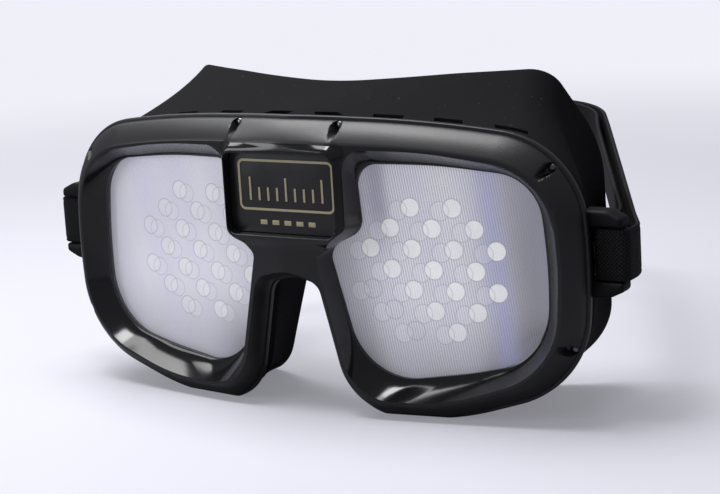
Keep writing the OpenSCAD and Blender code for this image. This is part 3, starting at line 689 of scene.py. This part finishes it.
def band_rows(q):
    """The outer band. With w from 0 at the ridge to 1 at the ledge, its depth is half of w plus
    half of 1 - sqrt(1 - w^2), a mean of a slope and a quarter circle. The lip has round edges."""
    lip, ridge = grounded(outline(lip_corners())), outline(mirrored(ridge_corners()))
    top, start = -sizes().ridge_d, 0.97
    rows = [(1.0, top), (0.985, top)]
    for w in np.sin(np.linspace(0, np.pi / 2, 15)):
        fall = 0.5 * w + 0.5 * (1 - np.sqrt(1 - w * w))
        rows.append((start - (start - BAND_FOOT) * w, top + (LIP_FRONT - top) * fall))
    rows += [(BAND_FOOT - 0.02, LIP_FRONT), (0.07, LIP_FRONT), (0.035, LIP_FRONT),
             (0.012, LIP_FRONT + 0.09), (0, LIP_FRONT + 0.3), (0, LIP_BACK - 0.2),
             (0.008, LIP_BACK - 0.06), (0.03, LIP_BACK)]
    return np.array([deep(at(lip + (ridge - lip) * f, q), y) for f, y in rows]), [f for f, _ in rows]


def stud_places():
    """Middles of the studs on the right half, and the way that their scoops run. The temple's
    stud lies on the third corner's arc and the cheek's on the fifth's."""
    line = grown(lip_corners(), -SHELL_INSET - 0.8)[:9]
    temple, cheek = outline(line, 9)[2 * 18 + 4], outline(line, 11)[4 * 22 + 3]
    brow_x = 17.4
    brow_z = line[0][1] + (line[1][1] - line[0][1]) * brow_x / line[1][0]
    return [(brow_x, brow_z - 0.1, -90), (*temple, -135), (*cheek, 165)]


def scooped(rows):
    """Presses teardrop scoops into the band round the studs: inside a circle that tapers along
    its tail, a point moves back to a floor level with the lip, over a soft edge."""
    radius, tail, edge = 1.75, 1.6, 0.45
    out = rows.copy()
    for x0, z0, angle in stud_places():
        a = np.radians(angle)
        for side in (1, -1):
            u, v = rows[..., 0] * side - x0, rows[..., 2] - z0
            p, w = u * np.cos(a) + v * np.sin(a), -u * np.sin(a) + v * np.cos(a)
            t = np.clip(p / tail, 0, 1)
            gap = np.hypot(p - tail * t, w) - (radius - 0.45 * t)
            floor = LIP_FRONT + 0.05 + soft_x(rows[..., 0]) * WRAP - 0.35 * np.maximum(0, p)
            press = smooth(-gap / edge) * (floor > out[..., 1])
            out[..., 1] += (floor - out[..., 1]) * press
    return out


LABEL_TOP, LABEL_FOOT = 79, 54.6
LABEL = [[-19, LABEL_TOP, 3], [19, LABEL_TOP, 3], [19, LABEL_FOOT, 3.5], [-19, LABEL_FOOT, 3.5]]
BOSS = [[-19.8, 81.5, 3.5], [19.8, 81.5, 3.5], [19.8, 52.4, 4], [-19.8, 52.4, 4]]
BOSS_FACE, BOSS_STEP = -7.8, 3.2  # depth of its face, and width of the soft step round it
MOUTH_FOOT = -1.2  # depth of the mouth's foot before the lens seat


def face_depth(p):
    """Depth of the front face: the ridge's wrapped plane, raised to a flat boss between the
    lenses over a soft step that follows the distance to the boss's outline."""
    base = -sizes().ridge_d + soft_x(p[:, 0]) * WRAP
    loop = outline(BOSS, 16)
    gap = to_loop(p, loop) * np.where(inside(p, loop), -1, 1)
    raised = smooth(0.5 - gap / BOSS_STEP)
    return base + (BOSS_FACE - base) * raised


def aperture_rows():
    """The mouth from the face to the lens seat: the plan runs evenly from one outline to the
    other, while the depth follows (1 - t)^1.46, steep at the ridge and flat at the lens."""
    slope, seat = outline(slope_corners()), outline(lens_corners())
    q = spaced(slope, 0.5)
    slope, seat = at(slope, q), at(seat, q)
    top = face_depth(slope)
    foot = MOUTH_FOOT + soft_x(seat[:, 0]) * WRAP
    rows = [laid(slope, top)]
    for t in (0.03, *np.linspace(0.07, 1, 18)):
        rows.append(laid(slope + (seat - slope) * t, foot + (top - foot) * (1 - t) ** 1.46))
    rows.append(deep(seat, -0.02))
    ledge = at(outline(grown(lens_corners(), 1.0)), q)
    rows += [deep(ledge, 0.0), deep(ledge, LIP_BACK)]
    return slope, ledge, np.array(rows)


def build_bezel():
    """The moulding's band, face, mouths and label pocket, with a bevel round the pocket."""
    q = spaced(outline(lip_corners()), 0.3)
    rows, shares = band_rows(q)
    lift = face_depth(rows[0][:, [0, 2]]) - rows[0][:, 1]
    rows[..., 1] += lift * smooth((np.array(shares)[:, None] - 0.35) / 0.65)
    rows = scooped(rows)
    slope, ledge, mouth = aperture_rows()
    bevel = [(0.3, 0.0), (0.16, 0.04), (0.05, 0.15), (0.0, 0.34), (0.0, 4.0)]
    label = [outline(grown(LABEL, g), 24) for g, _ in bevel]
    pocket = [laid(loop, face_depth(loop) + d) for loop, (_, d) in zip(label, bevel)]
    pocket[-1][:, 1] = PLATE_SEAT
    ridge, edge = rows[0][:, [0, 2]], rows[-1][:, [0, 2]]
    face = filled([ridge, slope, slope * MIRROR, label[0]], lambda p: laid(p, face_depth(p)), step=0.8)
    back = filled([edge, ledge, ledge * MIRROR], lambda p: deep(p, LIP_BACK))
    floor = filled([label[-1]], lambda p: front(p, PLATE_SEAT))
    patches = [grid(rows), face, back, floor, grid(pocket), *both([grid(mouth)])]
    satin = [smooth((1 - np.repeat(shares, len(q))) / 0.04), *[np.zeros(len(p[0])) for p in patches[1:]]]
    mesh_from("bezel_moulding", patches, bezel_finish(), FACE, ["front_bezel"],
              sharp=40, fields={"satin": np.concatenate(satin)})


SWEEP_Y = 6.3  # depth where the straight wall ends and the sweep begins
FLANGE = (4.1, 5.7)  # depths of the flange's two faces
WALL_ROWS = (1.1, 3.3, 5.5)  # depths of the straight wall's rows
VENT_ROW, VENT_EDGES = 4, (1.0, 2.6)  # the vents' first row, and their edges behind the straight wall
RIM_DEPTH, RIM_FALL = 28, 30  # depth of the rim's middle, and how far it falls back to its sides
VENT_PITCH, VENT_HALF = 18.6, 4.9  # the vents' spacing and half length
BROW_Z = 60  # they lie above this height


def shell_row(f, inset, q, back=0.0):
    """The shell at share f of its sweep, from the end of its straight wall to its curved rim: the
    plan opens by 1 - (1 - f)^1.85, while height and depth change evenly."""
    start = np.array(grown(lip_corners(), -SHELL_INSET)[:9])
    end = np.array(rim_corners(), float)
    across = 1 - (1 - f) ** 1.85
    half = start + (end - start) * [across, f, across]
    loop = grounded(at(outline(grown(mirrored(half.tolist()), -inset)), q))
    x = loop[:, 0]
    fore = SWEEP_Y + soft_x(x) * WRAP
    rim = RIM_DEPTH + RIM_FALL * (x / RIM_HALF) ** 2
    return laid(loop, fore + (rim - fore) * f + back)


def vented(rows, quads):
    """Takes the vents' faces out of both skins and walls the slots. The rows run from the outer
    skin's front round the rim to the inner skin's front."""
    n = rows.shape[1]
    column, row = quads[:, 0] % n, quads[:, 0] // n
    x, z = rows[VENT_ROW][:, 0], rows[VENT_ROW][:, 2]
    drop, walls = np.zeros(len(quads), bool), []
    for k in range(-4, 4):
        hit = np.flatnonzero((np.abs(x - (k + 0.5) * VENT_PITCH) < VENT_HALF) & (z > BROW_Z))
        turn = n // 2 if np.ptp(hit) > n / 2 else 0  # where a vent lies over the loop's start
        hit = (hit + turn) % n
        span = (np.arange(hit.min(), hit.max() + 1) + turn) % n
        drop |= np.isin(column, span[:-1]) & np.isin(row, (VENT_ROW, len(rows) - 2 - VENT_ROW))
        outer = rows[[VENT_ROW, VENT_ROW + 1]][:, span]
        inner = rows[[-1 - VENT_ROW, -2 - VENT_ROW]][:, span]
        walls += [grid([outer[j], inner[j]], closed=False) for j in (0, 1)]
        walls += [grid([outer[:, j], inner[:, j]], closed=False) for j in (0, -1)]
    return quads[~drop].tolist(), walls


def build_shell():
    """Outer and inner skins of the shell, a round bead along the face rim, and the vent slots cut
    right through the wall where the sweep begins. The slots' rows lie at equal depths behind it."""
    wall = sizes().shell_wall
    q = spaced(outline(lip_corners()), 0.9)
    n = len(q)
    first_share = 0.14
    shares = np.linspace(first_share + 0.03, 1, 30)
    skins = []
    for inset in (0.0, wall):
        fore, after = shell_row(0, inset, q), shell_row(first_share, inset, q)
        rows = [fore + (0, y - SWEEP_Y, 0) for y in WALL_ROWS] + [fore]
        rows += [fore + (after - fore) * (d / (after - fore)[:, 1:2]) for d in VENT_EDGES]
        skins.append(rows + [after] + [shell_row(f, inset, q) for f in shares])
    bead = [shell_row(1, wall / 2 - wall / 2 * np.cos(a), q, back=0.8 * np.sin(a))
            for a in np.linspace(0, np.pi, 9)[1:-1]]
    rows = np.array(skins[0] + bead + skins[1][::-1])
    verts, quads = grid(rows)
    ring, last = np.arange(n), (len(rows) - 1) * n
    lip = np.stack([last + ring, last + (ring + 1) % n, (ring + 1) % n, ring], 1)
    quads, walls = vented(rows, np.vstack([quads, lip]))
    hole = outline(grown(lens_corners(), 0.1), 12)
    edge = outline(grown(lip_corners(), -SHELL_INSET - wall * 0.75), 8)
    flange = [filled([edge, hole, hole * MIRROR], lambda p, y=y: deep(p, y)) for y in FLANGE]
    flange += both([grid([deep(hole, y) for y in FLANGE])]) + [grid([deep(edge, y) for y in FLANGE])]
    skin = [(verts, quads), *walls]
    mesh_from("shell_moulding", skin, shell_finish(), FACE, ["face_shell"], sharp=45)
    mesh_from("shell_flange", flange, shell_finish(), FACE, (), sharp=45)


def build_plate():
    """The plate and its generic print: a frame round nine ticks, with five blocks below it."""
    mesh_from("label_plate", prism(grown(LABEL, -0.15), PLATE_FACE, PLATE_SEAT, 0.12, front, n=16),
              plate_finish(), FACE, ["name_plate"])
    mid_x, w, h = 1.0, 33.0, 24.4 * 0.63
    mid_z = LABEL_TOP - 2.2 - h / 2
    depths = PLATE_FACE - 0.18, PLATE_FACE
    edge = box(mid_x, mid_z, w, h, 2)
    loops = [outline(edge, 12), outline(grown(edge, -0.7), 12)]
    patches = [grid([front(loop, d) for d in depths]) for loop in loops]
    patches += [filled(loops, lambda p, d=d: front(p, d)) for d in depths]
    marks = [((i - 4) * (w - 8) / 8, 3, 0.7, 4 if i % 4 else 7) for i in range(9)]
    marks = [(x, mid_z - h / 2 + up + tall / 2, wide, tall) for x, up, wide, tall in marks]
    marks += [(i * 4.2, LABEL_FOOT + 2.6 + 0.7, 2.4, 1.4) for i in range(-2, 3)]
    for x, z, wide, tall in marks:
        patches += prism(box(x + mid_x, z, wide, tall, 0.12), *depths, 0.04, front, n=4)
    mesh_from("label_marks", patches, print_finish(), FACE, ["plate_marks"])


def turned(profile, n=40):
    """A profile of radius and height carried round an axis along -Y."""
    p = np.array(profile, float)
    a = np.linspace(0, 2 * np.pi, n, endpoint=False)
    return np.stack([p[:, :1] * np.cos(a), np.repeat(-p[:, 1:], n, 1), p[:, :1] * np.sin(a)], -1)


def build_studs():
    """Domed heads on straight shanks: the head's radius is 1.3 cos a at height 0.9 sin a."""
    a = np.linspace(0, np.pi / 2, 8)[:-1]
    profile = [(0.0001, -5), (0.5, -5), (0.55, -4.9), (0.55, -0.02), (1.2, 0), (1.3, 0.06)]
    profile += [(1.3 * np.cos(t), 0.08 + 0.82 * np.sin(t)) for t in a[1:]] + [(0.0001, 0.9)]
    patches = [grid(turned(profile) + (x, LIP_FRONT + x * WRAP, z)) for x, z, _ in stud_places()]
    mesh_from("snap_stud_set", both(patches), stud_finish(), FACE, ["snap_studs"])


def pane_patches(y0, t, r):
    """A flat pane on the wrapped plane of the right side, 0.7 wider all round than the lens seat:
    its outline is drawn out by 1 / cos(wrap) and turned back by the wrap."""
    cos, sin = np.cos(np.arctan(WRAP)), np.sin(np.arctan(WRAP))

    def place(p, depth):
        x, y = p[:, 0] / cos, np.full(len(p), float(depth))
        return np.stack([x * cos - y * sin, x * sin + y * cos, p[:, 1]], 1)

    return prism(grown(lens_corners(), 0.7), y0 * cos, y0 * cos + t, r, place, n=16)


PANE, FILM = (0.1, 1.5, 0.25), (1.7, 0.5, 0.06)  # depth of the front face, thickness, edge radius


def build_lenses():
    """The clear front panes and the grooved films behind them."""
    for side, word in ((1, "right"), (-1, "left")):
        pane, film = pane_patches(*PANE), pane_patches(*FILM)
        if side < 0:
            pane, film = [flip(p) for p in pane], [flip(p) for p in film]
        mesh_from(f"front_pane_{word}", pane, glass_finish(), FACE, [f"cover_lens_{word}"])
        mesh_from(f"grooved_sheet_{word}", film, film_finish(f"film_grooved_{word}", side), FACE,
                  [f"groove_film_{word}"])


BAR_Y, LUG_Z = 17.4, 50.0  # depth and height of the lugs' bars


def lug_patches():
    """Two thick rounded arms that reach out of the shell and the flat bar between them."""
    root, reach, slot = 84.4, 98.9, 7.8
    patches = []
    for up in (1, -1):
        corners = [[root, 12.6, 0.9], [reach - 4.6, 12.6, 5], [reach, slot + 2.6, 1.6], [reach, slot, 0.7],
                   [88.1, slot, 0.7], [88.1, 2, 0.7], [root, 2, 0.7]]
        corners = [[x, LUG_Z + z * up, r] for x, z, r in corners][::up]
        patches += prism(corners, BAR_Y - 3.4, BAR_Y + 3.4, 1.3, front, n=8)

    def level(p, depth):
        return np.stack([p[:, 0], p[:, 1], np.full(len(p), float(depth))], 1)

    return patches + prism(box(95, BAR_Y, 7.8, 3, 1.45), LUG_Z - 8.4, LUG_Z + 8.4, 0.02, level, n=10)


def build_lugs():
    """The two strap lugs on the shell's sides."""
    material = lug_finish()
    mesh_from("lug_right", lug_patches(), material, FACE, ["strap_lug_right"])
    mesh_from("lug_left", [flip(p) for p in lug_patches()], material, FACE, ["strap_lug_left"])


TILT_Y, RISE = 31.0, np.radians(5.5)  # depth of the tilt axis, and the webbing's slope behind it
BEND = 8.0  # the webbing takes up its slope from this far before the axis to as far behind it
OUTER_X, INNER_X, PLY_X = 99.8, 88.2, 90.2  # the webbing's runs outside, inside and behind a bar
BACK_S = 134  # the seam's distance behind the axis
SLOPE = (OUTER_X - 44) / 110.5  # how the side runs close in towards the back
THREAD_OUT = 0.82  # from the webbing's middle to the threads'
GUTTER = (0.16, 1.25, 0.28)  # depth, distance from the edge and half width of the webbing's grooves
SEAM_BARS, TAIL_BARS = (0.0, 1.5, 3.0), (94.5, 92.5)  # places of the sewn bars


def tail_x(s):
    """The tail's distance from the middle at s behind the axis, one ply and a gap inside the run."""
    return OUTER_X - SLOPE * (s + 7.5) - 3.6 / np.cos(np.arctan(SLOPE))


def open_path(corners, step):
    """An open line of [x, s, radius], rounded at its corners and stepped evenly."""
    n = 24
    c = np.array([[*k, 0.01] if len(k) == 2 else k for k in corners], float)
    inner = []
    for a, p, b in zip(c[:-2], c[1:-1], c[2:]):
        inner.append(outline([[*a[:2], 0.01], p, [*b[:2], 0.01]], n)[2 * n:3 * n])
    line = np.vstack([c[:1, :2], *inner, c[-1:, :2]])
    s = np.concatenate([[0], np.cumsum(np.linalg.norm(np.diff(line, axis=0), axis=1))])
    steps = np.linspace(0, s[-1], int(s[-1] / step) + 1)
    return np.stack([np.interp(steps, s, line[:, k]) for k in (0, 1)], 1), steps


def webbing(line, width, thick):
    """A flat section with round edges and a shallow groove beside each edge, carried along a line
    in the headband's plane, which is level before the tilt axis and rises behind it. Its weave
    field holds the lengths along and across, and 1 where the knit is coarse on the front plies."""
    across = np.linspace(-0.5, 0.5, 23) * (width - thick)
    a = np.linspace(np.pi / 2, -np.pi / 2, 7)[1:-1]
    edge = np.stack([(width - thick) / 2 + thick / 2 * np.cos(a), thick / 2 * np.sin(a)], 1)
    depth, inset, spread = GUTTER
    dip = depth * np.exp(-((np.abs(across) - (width / 2 - inset)) / spread) ** 2)
    face = np.stack([across, thick / 2 - dip], 1)
    section = np.vstack([face, edge, face[::-1] * (1, -1), edge * (-1, -1)])
    path, along = line
    m, s = len(section), path[:, 1]
    t = unit(np.gradient(path, axis=0))
    lift = np.where(s < -BEND, 0, np.where(s > BEND, s, (s + BEND) ** 2 / (4 * BEND)))
    angle = RISE * np.clip((s + BEND) / (2 * BEND), 0, 1)
    back = s - (1 - np.cos(RISE)) * lift
    centre = np.stack([path[:, 0], TILT_Y + back, LUG_Z + lift * np.sin(RISE)], 1)
    normal = np.stack([-t[:, 1], t[:, 0] * np.cos(angle), t[:, 0] * np.sin(angle)], 1)
    wide = np.stack([np.zeros(len(s)), -np.sin(angle), np.cos(angle)], 1)
    rows = centre[:, None] + wide[:, None] * section[None, :, :1] + normal[:, None] * section[None, :, 1:]
    coarse = smooth((-s - 1.0) / 4.0)
    weave = np.stack([np.repeat(along * MM, m), np.tile(section[:, 0] * MM, len(s)), np.repeat(coarse, m)], 1)
    return [grid(rows), *end_caps(rows)], np.vstack([weave, weave[:m], weave[-m:]])


def strap_line():
    """The one length of webbing: from its seam at the back along the right inside, round the right
    bar, back round the head, round the left bar and through the slider to its tail."""
    fore = -16.0
    bar = [[INNER_X, -7.8, 6], [PLY_X, -12.1, 4], [PLY_X, fore, 2.35], [OUTER_X, fore, 2.35],
           [OUTER_X, -6.5, 16]]
    right = [[-1, BACK_S], [26, BACK_S, 33.5], [42, 99, 60], [INNER_X, 9, 15], *bar]
    back = [[44, 103, 60], [27, 135.5, 35], [-27, 135.5, 35], [-44, 103, 60]]
    left = [[-x, s, r] for x, s, r in bar[::-1]]
    return right + back + left + [[-INNER_X, 8, 12], [-tail_x(28), 28, 15], [-tail_x(96), 96]]


def build_webbing():
    """The elastic headband, which bends from the goggles' body to its own at the tilt axis."""
    s = sizes()
    patches, weave = webbing(open_path(strap_line(), 0.85), s.strap_w, s.strap_t)
    piece = mesh_from("webbing_band", patches, webbing_finish(), None,
                      ["headband", "return_ply_right", "return_ply_left", "strap_loop_right",
                       "strap_loop_left"], sharp=60, fields={"weave": weave})
    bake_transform(piece)


def rounded_copy(node, name, width, material, body):
    """A merged copy of a CAD node with its edges rounded by a bevel."""
    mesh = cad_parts[node].data.copy()
    mesh.materials.clear()
    mesh.materials.append(material)
    work = bmesh.new()
    work.from_mesh(mesh)
    bmesh.ops.remove_doubles(work, verts=work.verts, dist=1e-6)
    bmesh.ops.dissolve_limit(work, angle_limit=np.radians(1), verts=work.verts, edges=work.edges)
    work.to_mesh(mesh)
    work.free()
    piece = placed(name, mesh)
    bevel = piece.modifiers.new("edges", "BEVEL")
    bevel.width, bevel.segments, bevel.limit_method, bevel.angle_limit = width, 3, "ANGLE", np.radians(40)
    mesh.shade_smooth()
    mesh.set_sharp_from_angle(angle=np.radians(40))
    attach(piece, body)
    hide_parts(node)


def build_slider():
    """The strap's adjuster."""
    rounded_copy("strap_slider", "slider_buckle", 0.00035, lug_finish(), "slider")


def zigzag(length, wide, count):
    """A thread's way along a bar and its sway across it, to and fro count times."""
    t = np.linspace(0, 1, count * 8 + 1)
    return (t - 0.5) * length, (np.abs((t * count) % 2 - 1) * 2 - 1) * wide / 2


def thread(points, r=0.13, n=6):
    """A round section of radius r carried along a line in space."""
    t = unit(np.gradient(points, axis=0))
    up = unit(np.cross(t, np.array([0.3, 0.7, 0.2])))
    side = np.cross(t, up)
    a = np.linspace(0, 2 * np.pi, n, endpoint=False)[None, :, None]
    rows = points[:, None] + r * (np.cos(a) * up[:, None] + np.sin(a) * side[:, None])
    return [grid(rows), *end_caps(rows)]


def tilted(x, y, z):
    """From the headband's own plane to the goggles' frame."""
    cos, sin = np.cos(RISE), np.sin(RISE)
    return np.stack([x, TILT_Y + y * cos - z * sin, LUG_Z + y * sin + z * cos], 1)


def build_stitching():
    """Three zigzag bars on the seam at the back, and two on the tail."""
    along, sway = zigzag(12.0, 0.7, 16)
    seam, tail = [], []
    for x in SEAM_BARS:
        seam += thread(tilted(x + sway, np.full(len(sway), BACK_S - THREAD_OUT), along))
    turn = np.arctan(SLOPE)
    for s in TAIL_BARS:
        x = tail_x(s) - sway * np.sin(turn) - THREAD_OUT * np.cos(turn)
        y = s + sway * np.cos(turn) - THREAD_OUT * np.sin(turn)
        tail += thread(tilted(-x, y, along))
    material = thread_finish()
    mesh_from("seam_thread", seam, material, BAND, ["seam_stitching"])
    mesh_from("tail_thread", tail, material, BAND, ["tail_stitching"])


def build_hidden():
    """The sealed inner parts keep their CAD shapes and get their finishes."""
    foam = gasket_finish()
    clear = glass_finish()
    for word in ("right", "left"):
        for node, material in ((f"lens_gasket_{word}", foam), (f"disc_film_{word}", clear)):
            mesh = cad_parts[node].data
            mesh.materials.clear()
            mesh.materials.append(material)


# Stage

CAMERA = Vector((309.0, -473.4 - MID_Y, 169.6)) * MM
ACROSS, UP, LOOK = (0.8605, 0.5063, -0.0565), (-0.0587, 0.2087, 0.9762), (-0.5061, 0.8367, -0.2093)
FOCAL, PICTURE_W = 1940.85, 720  # in picture points
BACKDROP = (0.865, 0.865, 0.945)
FLOOR = (0.69, 0.69, 0.76)
FLOOR_HALF = 4.0  # metres
ROOM, ROOM_LIGHT = (0.9, 0.91, 1.0), 0.22


def soft_lamp(name, spot, aim, size, power, tint=(1, 1, 1)):
    data = bpy.data.lights.new(name, "AREA")
    data.shape, data.size, data.size_y = "RECTANGLE", *size
    data.energy, data.color = power, tint
    lamp = placed(name, data)
    lamp.location = spot
    lamp.rotation_euler = (Vector(aim) - Vector(spot)).to_track_quat("-Z", "Y").to_euler()


def floor_finish():
    """Pale near the goggles, where it takes their shadow. Far off, and only on the rays that
    Wiring.seen names, it runs into the backdrop's colour. Mirrors see it dull."""
    f = Finish("floor_pale", FLOOR, 0.6, Specular_IOR_Level=0.2)
    cloud = f.noise(3, 2)
    f.feed(Base_Color=f.shades(cloud, 0.97, 1))
    x, y, _ = f.axes(f.place(centre=(-0.03, -0.02, 0)))
    far = (x * x + y * y).root().fade(0.22, 0.75, 0.25)
    seen = f.seen()
    glow = f.wire("Emission", {"Color": (*BACKDROP, 1), "Strength": 1.0})
    dull = f.wire("BsdfDiffuse", {"Color": (*tinted(FLOOR, 0.45), 1)})
    near = f.wire("MixShader", {0: seen, 1: dull, 2: Wire(f, f.shader.outputs[0])})
    whole = f.wire("MixShader", {0: far * seen, 1: near, 2: glow})
    f.join(f.tree.nodes["Material Output"].inputs["Surface"], whole)
    return f.material


def build_stage():
    """The camera that the photo was matched with, a wide floor, a dim room and four soft lamps."""
    data = bpy.data.cameras.new("camera")
    data.sensor_width, data.lens = 36.0, 36.0 * FOCAL / PICTURE_W
    camera = placed("camera", data)
    turned_back = [(a, u, -k, c) for a, u, k, c in zip(ACROSS, UP, LOOK, CAMERA)]
    camera.matrix_world = Matrix([*turned_back, (0, 0, 0, 1)])
    bpy.context.scene.camera = camera
    bpy.context.scene.view_settings.view_transform = "Standard"
    mesh = bpy.data.meshes.new("floor")
    corners = [(x * FLOOR_HALF, y * FLOOR_HALF, 0) for x, y in ((-1, -1), (1, -1), (1, 1), (-1, 1))]
    mesh.from_pydata(corners, [], [(0, 1, 2, 3)])
    mesh.materials.append(floor_finish())
    floor = placed("floor", mesh)
    world = bpy.data.worlds.new("studio")
    bpy.context.scene.world = world
    world.use_nodes = True
    world.node_tree.nodes.clear()
    w = Wiring(world.node_tree)
    room = w.wire("Background", {"Color": (*ROOM, 1), "Strength": ROOM_LIGHT})
    wall = w.wire("Background", {"Color": (*BACKDROP, 1), "Strength": 1.0})
    mixed = w.wire("MixShader", {0: w.seen(), 1: room, 2: wall})
    w.node("OutputWorld", {"Surface": mixed})
    aim = (-0.02, -0.07, 0.03)
    soft_lamp("overhead_left_box", (-0.19, -0.04, 0.62), aim, (0.42, 0.52), 4.5)
    soft_lamp("overhead_core", (-0.07, -0.19, 0.61), aim, (0.15, 0.15), 0.7)
    soft_lamp("front_left_box", (-0.7, -0.8, 0.35), (0, -0.07, 0.04), (0.35, 0.5), 2.6, (0.97, 0.98, 1))
    soft_lamp("back_left_box", (-0.6, 0.5, 0.55), (0, -0.05, 0.05), (0.35, 0.4), 0.6)


# Operators, panel and registration

def operator(work):
    """One operator class for a function that adds a piece, a group of like pieces or the stage.
    Its name and its note come from the function."""
    def execute(self, context):
        work()
        return {"FINISHED"}
    name = work.__name__.removeprefix("build_")
    return type(f"GOGGLES_OT_{name}", (bpy.types.Operator,), {
        "bl_idname": f"goggles.{name}", "bl_label": f"Add {name}", "__doc__": work.__doc__,
        "execute": execute})


OPERATORS = [operator(work) for work in (
    build_stage, build_bezel, build_shell, build_plate, build_studs, build_lenses, build_lugs,
    build_webbing, build_slider, build_stitching, build_hidden)]


class GOGGLES_PT_parts(bpy.types.Panel):
    """Lists the pieces and the sizes"""
    bl_label = "Impairment goggles"
    bl_idname = "GOGGLES_PT_parts"
    bl_space_type = "VIEW_3D"
    bl_region_type = "UI"
    bl_category = "Goggles"

    def draw(self, context):
        for group in (sizes(), colours()):
            for key in group.__annotations__:
                self.layout.prop(group, key)
        for kind in OPERATORS:
            self.layout.operator(kind.bl_idname)


CLASSES = [GoggleSizes, GoggleColours, *OPERATORS, GOGGLES_PT_parts]


def register():
    for kind in CLASSES:
        bpy.utils.register_class(kind)
    bpy.types.Scene.goggle_sizes = bpy.props.PointerProperty(type=GoggleSizes)
    bpy.types.Scene.goggle_colours = bpy.props.PointerProperty(type=GoggleColours)


def unregister():
    del bpy.types.Scene.goggle_sizes
    del bpy.types.Scene.goggle_colours
    for kind in reversed(CLASSES):
        bpy.utils.unregister_class(kind)


def main():
    register()
    for kind in OPERATORS:
        getattr(bpy.ops.goggles, kind.bl_idname.split(".")[1])()


if __name__ == "__main__":
    main()
